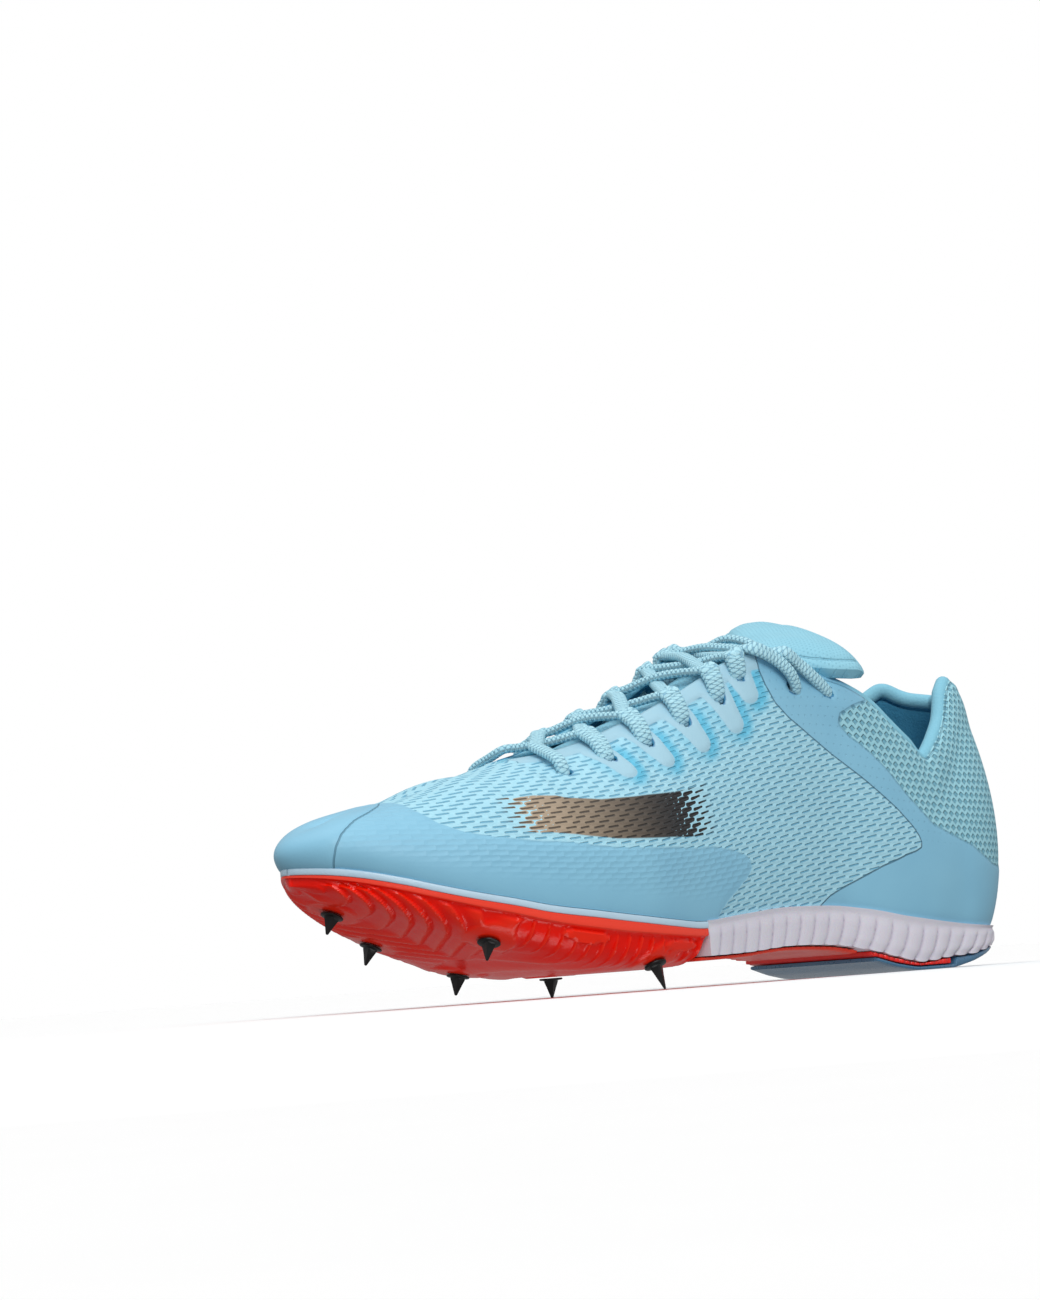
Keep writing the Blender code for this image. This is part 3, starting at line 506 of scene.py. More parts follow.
def makeStudio():
    scene.view_settings.view_transform = "Standard"
    world = bpy.data.worlds.new("studio")
    world.use_nodes = True
    tree = world.node_tree
    link, new = tree.links.new, tree.nodes.new
    sky, path, toward = tree.nodes["Background"], new("ShaderNodeLightPath"), new("ShaderNodeTexCoord")
    parts, fall, level = new("ShaderNodeSeparateXYZ"), new("ShaderNodeMapRange"), new("ShaderNodeMix")
    link(toward.outputs["Generated"], parts.inputs[0])
    link(parts.outputs[2], fall.inputs[0])
    for i, name in ((1, "fallStart"), (2, "fallEnd"), (3, "below"), (4, "above")):
        fall.inputs[i].default_value = studio[name]
    link(path.outputs["Is Camera Ray"], level.inputs[0])
    link(fall.outputs[0], level.inputs[2])
    level.inputs[3].default_value = studio["backdrop"]
    link(level.outputs[0], sky.inputs["Strength"])
    sky.inputs["Color"].default_value = (1, 1, 1, 1)
    scene.world = world
    for name, at, soften, strength in studio["suns"]:
        data = bpy.data.lights.new(name, "SUN")
        data.angle, data.energy = math.radians(soften), strength
        addLight(data, Vector(at), Vector(at))
    for name, at, size, watts in studio["lamps"]:
        data = bpy.data.lights.new(name, "AREA")
        data.shape, data.size, data.energy = "DISK", size, watts
        addLight(data, Vector(at), Vector(at) - Vector(camera["target"]))
    half = studio["floor"] / 2
    corners = [(-half, -half, 0), (half, -half, 0), (half, half, 0), (-half, half, 0)]
    floor = makePiece("floor", corners, [(0, 1, 2, 3)])
    f = Finish("paper floor", Roughness=0.9)
    grain = f.noise(f.here(), 40.0, 3.0)
    f.set(Base_Color=f.mix(grain, (0.985, 0.985, 0.985, 1), (1.0, 1.0, 1.0, 1)))
    floor.data.materials.append(f.material)
    # the paper shows and takes the shadow, but throws no light up at the sole
    floor.visible_diffuse = floor.visible_glossy = floor.visible_shadow = False


def addLight(data, at, back):
    light = bpy.data.objects.new(data.name, data)
    light.location = at
    light.rotation_mode = "QUATERNION"
    light.rotation_quaternion = back.to_track_quat("Z", "Y")
    scene.collection.objects.link(light)


makeCamera()
makeStudio()
print("camera and studio ready")


# upper

upper = {
    "columns": 236, "lowRows": 26, "highRows": 26, "split": 0.64, "margin": 0.008, "thin": 0.07,
    "stayFrom": 0.385, "stayTo": 0.735, "stayBand": 6.0, "puffEnd": 0.36, "rimSnap": 0.75,
    "padEnd": 0.40, "padHeight": (0.72, 0.92), "ridge": (0.84, 0.90),
    "fadeIn": (0.50, 0.63), "fadeOut": (0.74, 0.83),
    "film": 0.00045, "cap": 0.0006, "stay": 0.0007, "heelMesh": -0.0003, "softness": 0.00025,
    "cell": 5.9, "row": 1.72, "dash": 1.75, "tilt": 0.12, "rowRise": 0.065, "rowLevel": 0.75, "puff": 0.0014,
    "diamond": (3.3, 2.3), "pinholes": (3.2, 3.0), "inkTurns": (196.0, 268.0),
}
# seams as (foot, turn): how far along the sole's edge, and how far up the wall
quarterSeam = (
    (0.396, 1.0), (0.396, 0.91), (0.393, 0.83), (0.385, 0.745), (0.369, 0.69), (0.339, 0.645), (0.308, 0.60),
    (0.276, 0.55), (0.247, 0.51), (0.216, 0.475), (0.195, 0.44), (0.184, 0.395), (0.185, 0.355),
    (0.194, 0.32), (0.210, 0.275), (0.246, 0.185), (0.292, 0.095), (0.329, 0.035), (0.345, 0.0),
)
heelMeshEdge = (
    (0.236, 1.0), (0.240, 0.94), (0.262, 0.865), (0.283, 0.80), (0.287, 0.75), (0.275, 0.71), (0.252, 0.68),
    (0.222, 0.64), (0.195, 0.59), (0.162, 0.53), (0.130, 0.455), (0.100, 0.35), (0.062, 0.225), (0.0, 0.19),
)
filmLine = (
    (0.53, 0.0), (0.525, 0.025), (0.511, 0.06), (0.491, 0.095), (0.472, 0.13), (0.464, 0.165), (0.475, 0.20),
    (0.500, 0.235), (0.538, 0.272), (0.60, 0.29), (0.691, 0.298), (0.77, 0.298), (0.834, 0.325),
    (0.866, 0.385), (0.888, 0.48), (0.903, 0.65), (0.912, 0.85), (0.915, 1.0),
)
toeSeam = (
    (0.980, 0.0), (0.979, 0.09), (0.977, 0.24), (0.973, 0.42), (0.963, 0.62), (0.948, 0.75), (0.934, 0.87),
    (0.926, 1.0),
)
printBlock = ((0.50, 0.318), (0.60, 0.335), (0.691, 0.343), (0.77, 0.345), (0.825, 0.365), (0.825, 0.60),
              (0.77, 0.575), (0.691, 0.56), (0.60, 0.54), (0.50, 0.52))
# lace holes: foot, turn, length and width in mm, lean towards the heel, reach of the pale loop below
slotTable = (
    (0.706, 0.785, 4.6, 4.0, 0.20, 0.00),
    (0.644, 0.835, 8.2, 4.6, 0.34, 9.5),
    (0.580, 0.850, 8.2, 4.6, 0.32, 10.5),
    (0.518, 0.862, 8.2, 4.6, 0.30, 11.5),
    (0.462, 0.875, 7.8, 4.6, 0.26, 12.0),
    (0.425, 0.915, 6.0, 4.4, 0.22, 8.0),
    (0.350, 0.850, 4.6, 4.6, 0.00, 0.0),
    (0.298, 0.900, 4.6, 4.6, 0.00, 0.0),
)
# the two top strands lie along the edge before their holes: hole, and how far towards the toe
slide = {0.350: 0.052, 0.298: 0.066}


def lineGap(points, line, closing):
    # signed distance from points to a line, below zero inside the shape that closing completes
    line = np.asarray(line, float)
    a, b = line[:-1], line[1:]
    run = b - a
    gap = np.full(len(points), 1e9)
    for start, step in zip(a, run):
        t = np.clip(((points - start) @ step) / (step @ step), 0, 1)
        gap = np.minimum(gap, np.hypot(*(points - start - t[:, None] * step).T))
    shape = np.concatenate([line, np.asarray(closing, float).reshape(-1, 2)])
    inside = np.zeros(len(points), bool)
    for p, q in zip(shape, np.roll(shape, -1, axis=0)):
        crosses = (p[1] > points[:, 1]) != (q[1] > points[:, 1])
        with np.errstate(divide="ignore", invalid="ignore"):
            at = (q[0] - p[0]) * (points[:, 1] - p[1]) / (q[1] - p[1]) + p[0]
        inside ^= crosses & (points[:, 0] < at)
    return np.where(inside, -gap, gap)


def soft(value, start, end):
    t = np.clip((value - start) / (end - start), 0, 1)
    return t * t * (3 - 2 * t)


def dropRadius(angle, long, wide):
    # outline of a lace hole: round towards the tongue, drawn out to a point below
    down = np.cos(angle) > 0
    far = np.where(down, long * 0.60, long * 0.40)
    power = np.where(down, 1.5, 2.2) if long > 5 else 2.0
    far = far if long > 5 else long / 2
    across = np.abs(np.sin(angle) / (wide / 2)) ** power
    return (np.abs(np.cos(angle) / far) ** power + across) ** (-1 / power)


def makeUpper():
    feet = stations(0, length, upper["columns"])
    low = np.linspace(0, upper["split"], upper["lowRows"])
    high = np.linspace(upper["split"], 1, upper["highRows"])
    turns = np.concatenate([low, high[1:]])
    sides = {}
    for side in (1, -1):
        foot, turn = np.meshgrid(feet, turns, indexing="ij")
        sides[side] = wallPoint(foot, side, turn)
    # surface millimetres: round the edge from the heel, and up the wall
    middle = sides[1][:, len(turns) // 2]
    across = np.concatenate([[0], np.cumsum(np.linalg.norm(np.diff(middle, axis=0), axis=1))]) * 1000
    allPoints, allUv, faces, normals = [], [], [], {}
    labels = ("seamGap", "heelGap", "filmGap", "toeGap", "stayGap", "glow", "slotGap", "rimGap",
              "block", "fade", "rows", "pad")
    values = {label: [] for label in labels}
    for side, grid in sides.items():
        du = np.gradient(grid, across, axis=0)
        rise = np.linalg.norm(np.diff(grid, axis=1), axis=2)
        up = np.concatenate([np.zeros((len(feet), 1)), np.cumsum(rise, axis=1)], axis=1) * 1000
        dv = np.gradient(grid, axis=1) / np.maximum(np.gradient(up, axis=1), 1e-6)[..., None]
        # where the grid pinches at the toe, the way out from the middle of the foot takes over
        along = last["heelRest"] - grid[..., 0]
        inside = np.clip(along, 0.03, length - 0.035)
        away = unit(grid - place(inside, centreLine(inside), edgeHeight(feet)[:, None]))
        normals[side] = unit(np.cross(unit(dv), unit(du)) * side + 0.15 * away), du, dv, up
    closedTop = read(toplineTable, "gap", feet / length) < 1e-4
    # both sides share their normals where they meet
    for i in (0, -1):
        normals[1][0][i] = normals[-1][0][i] = unit(normals[1][0][i] + normals[-1][0][i])
    both = unit(normals[1][0][closedTop, -1] + normals[-1][0][closedTop, -1])
    normals[1][0][closedTop, -1] = normals[-1][0][closedTop, -1] = both
    for side, grid in sides.items():
        normal, du, dv, up = normals[side]
        u = np.repeat(across[:, None], len(turns), axis=1)
        flat = np.stack([u, up], -1).reshape(-1, 2)
        topOf = np.repeat(up[:, -1:], len(turns), axis=1)

        def onSurface(line):
            line = np.asarray(line, float)
            at = np.interp(line[:, 0] * length, feet, across)
            heights = []
            for share, turn in line:
                i = np.interp(share * length, feet, np.arange(len(feet)))
                lowI = int(min(i, len(feet) - 2))
                a, b = np.interp(turn, turns, up[lowI]), np.interp(turn, turns, up[lowI + 1])
                heights.append(a + (b - a) * (i - lowI))
            return np.stack([at, heights], -1)

        def shaped(data):
            return data.reshape(len(feet), len(turns))

        far = across[-1] + 30
        seam = shaped(lineGap(flat, onSurface(quarterSeam), [(far, -20), (far, 200)]))
        heel = shaped(lineGap(flat, onSurface(heelMeshEdge), [(-20, 15), (-20, 200), (60, 200)]))
        film = shaped(lineGap(flat, onSurface(filmLine), [(across[-1] * 0.93, 200), (far, 200), (far, -20)]))
        toe = shaped(lineGap(flat, onSurface(toeSeam), [(far, 200), (far, -20)]))
        block = shaped(lineGap(flat, onSurface(printBlock + printBlock[:1]), []))
        stay = np.full(u.shape, 50.0)
        glow = np.zeros(u.shape)
        hole = np.full(u.shape, 50.0)
        moved = np.zeros(grid.shape)
        cut = np.zeros(u.shape, bool)
        for foot, turn, long, wide, lean, reach in slotTable:
            at = onSurface([(foot, turn)])[0]
            down = np.array((-lean, -1.0)) / math.hypot(lean, 1)
            acrossIt = np.array((-down[1], down[0]))
            local = np.stack([u, up], -1) - at
            a, b = local @ down, local @ acrossIt
            angle = np.arctan2(b, a)
            rim = dropRadius(angle, long, wide)
            distance = np.hypot(a, b)
            hole = np.minimum(hole, distance - rim)
            if reach > 0:
                # the pale loop: a capsule round the hole that narrows downwards
                t = np.clip((a + long * 0.4) / (reach + long * 0.4), 0, 1)
                spine = np.hypot(a - (t * (reach + long * 0.4) - long * 0.4), b)
                loop = spine - (wide * 0.5 + 3.2 - 1.9 * t)
                stay = np.minimum(stay, loop)
                # colour spills from the loop, most of it on the heel side
                ring = (1 - soft(loop, 1.8, 6.0)) * soft(a, -long * 0.7, reach * 0.4)
                ring = ring * (0.35 + 0.65 * soft(-b, -3.5, 1.5))
                glow = np.maximum(glow, ring * (1 - soft(a, reach + 5.0, reach + 12.0)))
            cut |= distance < rim
            # rows of points beside the edge move onto it
            near = np.abs(distance - rim) < upper["rimSnap"]
            shift = (rim - distance)[..., None] * local / np.maximum(distance, 1e-6)[..., None]
            moved += np.where(near[..., None], shift[..., :1] * du + shift[..., 1:] * dv, 0)
            cut &= ~near
        foot = np.repeat(feet[:, None] / length, len(turns), axis=1)
        rimGap = topOf - up
        laced = (foot > upper["stayFrom"]) & (foot < upper["stayTo"])
        stay = np.minimum(stay, np.where(laced, rimGap - upper["stayBand"], 50.0))
        lift = upper["film"] * (1 - soft(film, -1.2, 0.4)) + upper["cap"] * (1 - soft(toe, -0.7, 0.4))
        lift = lift + upper["stay"] * (1 - soft(stay, -1.0, 0.4)) * soft(seam, 1.5, 0.0)
        lift = lift + upper["heelMesh"] * (1 - soft(heel, -1.0, 0.5)) * soft(rimGap, 2, 6)
        meeting = closedTop[:, None] * soft(turns, 0.75, 1.0)[None]
        lift = lift + softWaves(u, up, foot) * (1 - meeting)
        puff = upper["puff"] * soft(upper["puffEnd"] - foot, 0, 0.08)
        lift = lift + puff * soft(rimGap, 0, 4) * (1 - soft(rimGap, 7, 19))
        pointsHere = grid + moved + normal * lift[..., None]
        start = sum(len(p) for p in allPoints)
        rows, columns = len(feet), len(turns)
        edge = outlinePoint(feet, side, last["soleInset"])
        share = np.minimum(1.0, 0.35 + halfWidth(feet) / (last["ballWidth"] / 2))
        turnedIn = []
        for inward in (upper["margin"], upper["margin"] / 2):
            x, y = edge[0] - edge[2] * inward * share, edge[1] - edge[3] * inward * share
            turnedIn.append(place(x, y, edgeHeight(feet) + last["cement"]))
        pointsHere = np.concatenate([np.stack(turnedIn, 1), pointsHere], axis=1)
        columns += 2

        def widened(data):
            return np.concatenate([np.repeat(data[:, :1], 2, axis=1), data], axis=1).reshape(-1)

        allPoints.append(pointsHere.reshape(-1, 3))
        allUv.append(np.stack([widened(u), widened(up)], -1))
        height = np.repeat(turns[None], rows, axis=0)
        pad = soft(upper["padEnd"] - foot, 0, 0.05) * soft(height, *upper["padHeight"])
        plain = (last["wall"] / last["collarPad"] - upper["thin"]) / (1 - upper["thin"])
        # over the toe the wall is thin, so that its inner face doesn't come through the ridge
        pad = (plain + (1 - plain) * pad) * (1 - soft(foot, *upper["ridge"]) * soft(height, 0.5, 0.8))
        fade = soft(foot, *upper["fadeIn"]) * (1 - soft(foot, *upper["fadeOut"]))
        # knit rows lie nearly level and rise a little to the heel
        level = upper["rowLevel"] - 0.14 * soft(foot, 0.62, 0.88)
        knitRows = level * grid[..., 2] * 1000 + (1 - level) * up + upper["rowRise"] * u
        shown = seam, heel, film, toe, stay, glow, hole, rimGap, block, fade, knitRows, pad
        for label, data in zip(labels, shown):
            values[label].append(widened(data))
        cutWide = np.concatenate([np.zeros((rows, 2), bool), cut], axis=1)
        for i in range(rows - 1):
            for j in range(columns - 1):
                if cutWide[i, j] or cutWide[i + 1, j] or cutWide[i, j + 1] or cutWide[i + 1, j + 1]:
                    continue
                a, b = start + i * columns + j, start + (i + 1) * columns + j
                face = (a, b, b + 1, a + 1)
                faces.append(face if side > 0 else face[::-1])
    ridge = np.flatnonzero(closedTop) * columns + columns - 1
    allPoints[0][ridge] = allPoints[1][ridge] = (allPoints[0][ridge] + allPoints[1][ridge]) / 2
    values = {label: np.concatenate(data) for label, data in values.items()}
    piece = makePiece("upper_shell", np.concatenate(allPoints), faces, np.concatenate(allUv), values)
    bm = bmesh.new()
    bm.from_mesh(piece.data)
    bmesh.ops.delete(bm, geom=[v for v in bm.verts if not v.link_faces], context="VERTS")
    bmesh.ops.recalc_face_normals(bm, faces=bm.faces)
    bm.normal_update()
    middle = Vector((last["heelRest"] - length / 2, 0, last["soleEdge"]))
    if sum((f.calc_center_median() - middle).dot(f.normal) * f.calc_area() for f in bm.faces) < 0:
        bmesh.ops.reverse_faces(bm, faces=bm.faces)
    bm.to_mesh(piece.data)
    bm.free()
    group = piece.vertex_groups.new(name="pad")
    data = np.empty(len(piece.data.vertices), np.float32)
    piece.data.attributes["pad"].data.foreach_get("value", data)
    for i, weight in enumerate(data):
        group.add([i], float(weight), "REPLACE")
    shell = piece.modifiers.new("wall", "SOLIDIFY")
    shell.thickness, shell.offset = last["collarPad"], -1
    shell.vertex_group, shell.thickness_vertex_group = "pad", upper["thin"]
    shell.use_even_offset = False
    shell.material_offset = 1
    shell.material_offset_rim = 1
    piece.data.materials.append(None)
    piece.data.materials.append(None)
    applyModifiers(piece)
    return piece


def softWaves(u, up, foot):
    # creases as listed: foot millimetres, height, direction, length, width, depth
    creases = (
        (196, 62, 1.9, 16, 3.0, 0.50), (204, 58, 1.8, 18, 3.2, -0.35), (212, 60, 1.75, 15, 3.0, 0.40),
        (86, 66, 0.6, 16, 3.5, 0.35), (98, 52, 0.9, 20, 4.0, -0.30), (62, 48, 0.4, 18, 4.0, 0.30),
        (150, 30, 0.1, 30, 5.0, 0.25), (175, 22, 0.15, 34, 4.5, -0.22), (36, 60, 1.2, 14, 4.0, -0.25),
    )
    lift = np.zeros(u.shape)
    for x, y, turn, reach, wide, depth in creases:
        a = (u - x) * math.cos(turn) + (up - y) * math.sin(turn)
        b = -(u - x) * math.sin(turn) + (up - y) * math.cos(turn)
        lift -= depth / 1000 * np.exp(-(a / reach) ** 2 - (b / wide) ** 2)
    lift += upper["softness"] * np.sin(u / 17 + 1.3) * np.sin(up / 13 + u / 41) * soft(up, 2, 10)
    return lift * (1 - soft(foot, 0.95, 1.0)) * soft(foot, 0.0, 0.03)


def knitFinish():
    f = Finish("fused knit")
    u, v = f.surface()
    here = f.here()
    seam, heel, film = f.value("seamGap"), f.value("heelGap"), f.value("filmGap")
    toe, stay, glow = f.value("toeGap"), f.value("stayGap"), f.value("glow")
    hole, rim, rows = f.value("slotGap"), f.value("rimGap"), f.value("rows")
    block, fade = f.value("block"), f.value("fade")
    inFilm = film.step(0.5, -0.5)
    inToe = toe.step(0.3, -0.3)
    rear = seam.step(-0.2, 0.3)
    inStay = stay.step(0.4, -0.3) * (1 - rear)
    inHeel = heel.step(0.6, -0.8) * rear
    knit = (1 - inFilm) * (1 - rear) * (1 - inStay)
    # main knit: rows of thin slanted dashes, set like bricks
    x, y = brick(u, rows, upper["cell"], upper["row"])
    wobble = f.noise(here, 240.0, 2.0) - 0.5
    dx = (abs(x) * upper["cell"] + wobble * 1.2 - upper["dash"]).higher(0.0)
    dy = y * upper["row"] + x * (upper["cell"] * upper["tilt"]) + wobble * 0.25
    core = (dx * dx * 0.5 + dy * dy).sum("SQRT")
    pit = core.step(0.42, 0.10)
    # heel knit: coarse diamonds
    hx, hy = brick(u, v, *upper["diamond"])
    diamond = (abs(hx) * 1.10 + abs(hy - 0.05) * 0.95 + wobble * 0.10).step(0.52, 0.30)
    fineRib = (rows * 3.65).sine() * 0.5 + 0.5
    thread = f.noise(here, 900.0, 3.0, 0.65)
    blotch = f.noise(here, 55.0, 2.0)
    # the knit's pits are coloured a darker blue than its ridges: painted shade in the pits
    bright = f.mix(thread, rgb(150, 212, 234), rgb(188, 232, 245))
    pitShade = f.mix(blotch, rgb(70, 148, 186), rgb(96, 172, 206))
    smooth = f.mix(blotch, rgb(130, 190, 219), rgb(142, 202, 228))
    colour = f.mix(knit, smooth, f.mix(pit * 0.8, bright, pitShade))
    heelColour = f.mix(thread, rgb(142, 206, 223), rgb(176, 226, 238))
    # the diamond hollows of the heel knit are coloured darker: painted shade in the hollows
    colour = f.mix(inHeel, colour, f.mix(diamond * 0.7, heelColour, rgb(92, 158, 184)))
    colour = f.mix(inStay * 0.85, colour, rgb(170, 210, 226))
    # the cyan band is dimmed a little in the pits: painted shade
    halo = (glow * (1 - inStay) * (1 - rear) * (0.65 + thread * 0.4) - pit * 0.10).higher(0.0).lower(0.92)
    colour = f.mix(halo, colour, rgb(82, 190, 226))
    # plain printed block that thins out to dashes at its ends
    printed = (fade * 1.7 - core).step(0.0, 0.12)
    inBlock = block.step(0.3, -0.3) * printed * (1 - inFilm) * (1 - rear) * (1 - inStay)
    ink = f.mix(u.step(*upper["inkTurns"]), rgb(30, 29, 32), rgb(186, 166, 142))
    # the pits in the print are coloured near black: painted shade in the pits
    colour = f.mix(inBlock, colour, f.mix(pit * 0.8, ink, rgb(24, 21, 20)))
    # seams and edges
    seamLine = abs(seam).step(0.36, 0.10)
    toeLine = abs(toe).step(0.30, 0.08)
    heelLine = abs(heel).step(0.6, 0.2) * rear
    filmLip = abs(film).step(0.7, 0.1)
    tuck = abs(rim - 2.0).step(0.5, 0.1) * rear
    colour = f.mix((seamLine * 0.75 + toeLine * 0.55).lower(1.0), colour, rgb(44, 96, 124))
    colour = f.mix(heelLine * 0.3 + tuck * 0.35, colour, rgb(60, 120, 150))
    # a dark ring just round each lace hole: painted shade at the hole's edge
    colour = f.mix(hole.step(0.8, 0.0) * 0.85, colour, rgb(16, 104, 160))
    # wear and handling marks
    scuff = f.noise(here, 420.0, 4.0, 0.7).step(0.66, 0.78) * (v.step(9.0, 0.0) + toe.step(4.0, -8.0) * 0.4)
    colour = f.mix(scuff * 0.22, colour, rgb(112, 150, 166))
    pinX, pinY = brick(u, v, *upper["pinholes"])
    pin = (pinX * pinX + pinY * pinY).step(0.018, 0.004) * rear * (1 - inHeel) * v.step(20.0, 32.0)
    colour = f.mix(pin * 0.08, colour, rgb(80, 140, 168))
    under = core.step(1.3, 0.0)
    height = knit * (pit * -0.36 + fineRib * 0.10)
    height = height + inHeel * (diamond * -0.6)
    height = height - under * 0.16 * inFilm * v.step(4.0, 12.0) * (1 - inToe)
    height = height - (seamLine + toeLine) * 0.25 - heelLine * 0.15 - tuck * 0.4 + filmLip * 0.05 - pin * 0.10
    height = height + thread * 0.07 * (knit + inHeel) + thread * 0.03
    skin = f.bump(height)
    fuzz = f.noise(here, 2600.0, 2.0) * (0.02 + (knit + inHeel) * 0.05)
    f.set(
        Base_Color=colour,
        Roughness=0.46 + (knit + inHeel) * 0.26 + blotch * 0.08 - inToe * 0.05 + inBlock * -0.28,
        Normal=f.bump(fuzz, 0.001, 0.6, skin),
    )
    return f.material


def liningFinish():
    f = Finish("collar lining")
    here = f.here()
    weave = f.noise(here, 1500.0, 3.0, 0.6)
    cloud = f.noise(here, 40.0, 2.0)
    colour = f.mix(cloud, rgb(58, 146, 186), rgb(88, 172, 206))
    colour = f.mix(weave * 0.4, colour, rgb(30, 112, 158))
    f.set(Base_Color=colour, Roughness=0.82 + weave * 0.1, Normal=f.bump(weave, 0.0006, 0.6))
    return f.material


upperShell = makeUpper()
knit, lining = knitFinish(), liningFinish()
finished(upperShell, (knit, lining), ("upper",))


# geometry node helpers: each tree is built here and its result is turned to a plain mesh

class Grower:
    def __init__(self, name, inputs):
        self.tree = bpy.data.node_groups.new(name, "GeometryNodeTree")
        face = self.tree.interface
        face.new_socket("Geometry", in_out="INPUT", socket_type="NodeSocketGeometry")
        self.sockets = {}
        for label, kind, value in inputs:
            made = face.new_socket(label, in_out="INPUT", socket_type=kind)
            if value is not None:
                made.default_value = value
            self.sockets[label] = made.identifier
        face.new_socket("Geometry", in_out="OUTPUT", socket_type="NodeSocketGeometry")
        self.start = self.tree.nodes.new("NodeGroupInput")
        self.end = self.tree.nodes.new("NodeGroupOutput")

    def node(self, kind, settings=None, sockets=None, out=0):
        return addNode(self.tree, kind, settings, sockets, out)

    def grow(self, piece, geometry, material, values=None):
        real = self.node("GeometryNodeRealizeInstances", None, {0: geometry})
        painted = self.node("GeometryNodeSetMaterial", None, {"Geometry": real, "Material": material})
        self.tree.links.new(painted, self.end.inputs[0])
        modifier = piece.modifiers.new(self.tree.name, "NODES")
        modifier.node_group = self.tree
        for label, value in (values or {}).items():
            modifier[self.sockets[label]] = value
        applyModifiers(piece)
        piece.data.materials.clear()
        piece.data.materials.append(material)
        return piece


def pathPiece(name, path, radii):
    # a closed line of points with a radius at each, for a tube to follow
    mesh = bpy.data.meshes.new(name)
    count = len(path)
    edges = [(i, (i + 1) % count) for i in range(count)]
    mesh.from_pydata([tuple(p) for p in path], edges, [])
    layer = mesh.attributes.new("thick", "FLOAT", "POINT")
    layer.data.foreach_set("value", np.asarray(radii, np.float32))
    piece = bpy.data.objects.new(name, mesh)
    scene.collection.objects.link(piece)
    return piece


def rollTree(name, sides):
    g = Grower(name, (("Sides", "NodeSocketInt", sides),))
    thick = g.node("GeometryNodeInputNamedAttribute", {"data_type": "FLOAT"}, {"Name": "thick"})
    line = g.node("GeometryNodeMeshToCurve", None, {0: g.start.outputs[0]})
    ring = g.node("GeometryNodeCurvePrimitiveCircle", None, {"Resolution": g.start.outputs[1], "Radius": 1.0})
    body = g.node("GeometryNodeCurveToMesh", None, {
        "Curve": line, "Profile Curve": ring, "Scale": thick, "Fill Caps": True})
    return g, g.node("GeometryNodeSetShadeSmooth", None, {0: body})


# collar roll and the cut edge of the lace stays

collar = {
    "radius": 0.0025, "throat": 0.0011, "sides": 16, "raise": -0.0010, "depth": 0.42,
    "end": 0.744, "taper": (0.355, 0.41),
}


def makeCollarRoll():
    # one loop: heel, outer collar, down the throat, up the inner side and back
    feet = stations(0, collar["end"] * length, 210)
    full = 1 - soft(feet / length, *collar["taper"])
    radii = collar["throat"] + (collar["radius"] - collar["throat"]) * full
    paths = []
    for side in (1, -1):
        top = wallPoint(feet, side, np.ones(len(feet)))
        out = np.array([wallAt(max(foot, 0.0012), side, 1.0)[1] for foot in feet])
        pad = soft(upper["padEnd"] - feet / length, 0, 0.05)
        thick = last["wall"] + (last["collarPad"] - last["wall"]) * pad
        path = top - out * (thick * (0.5 + (collar["depth"] - 0.5) * pad))[:, None]
        path[:, 2] += collar["raise"] * pad
        paths.append(path)
    loop = np.concatenate([paths[0], paths[1][::-1][1:-1]])
    around = np.concatenate([radii, radii[::-1][1:-1]])
    piece = pathPiece("collar_roll", loop, around)
    g, body = rollTree("roll along a path", collar["sides"])
    binding = evenFinish("collar binding", ((120, 190, 214), (148, 210, 230)), None, (1400.0, 0.6),
                         (0.66, 0.1), (0.0004, 0.5))
    g.grow(piece, body, binding, {"Sides": collar["sides"]})
    piece.data.shade_smooth()
    finished(piece, binding, ())


makeCollarRoll()


# tongue

tongue = {
    "rows": 110, "across": 48, "seam": 3.0, "corner": 0.0055, "nose": 0.0030, "longer": 0.0026,
    "thinEdge": 0.20, "fullEdge": 0.50, "crown": 0.0009, "channel": 0.0006, "dimple": 0.00028,
    "dimplesAlong": 2.6, "dimplesAcross": 2.9, "pores": (1.5, 1.1),
}


def tongueShape(along):
    names = "crest", "droop", "lean"
    return (read(tongueTable, name, along / length) * last["instepHeight"] for name in names)


def tongueTop(along, t):
    crest, droop, lean = tongueShape(along)
    return crest - droop * (0.4 * t ** 2 + 0.6 * t ** 4) - lean * t


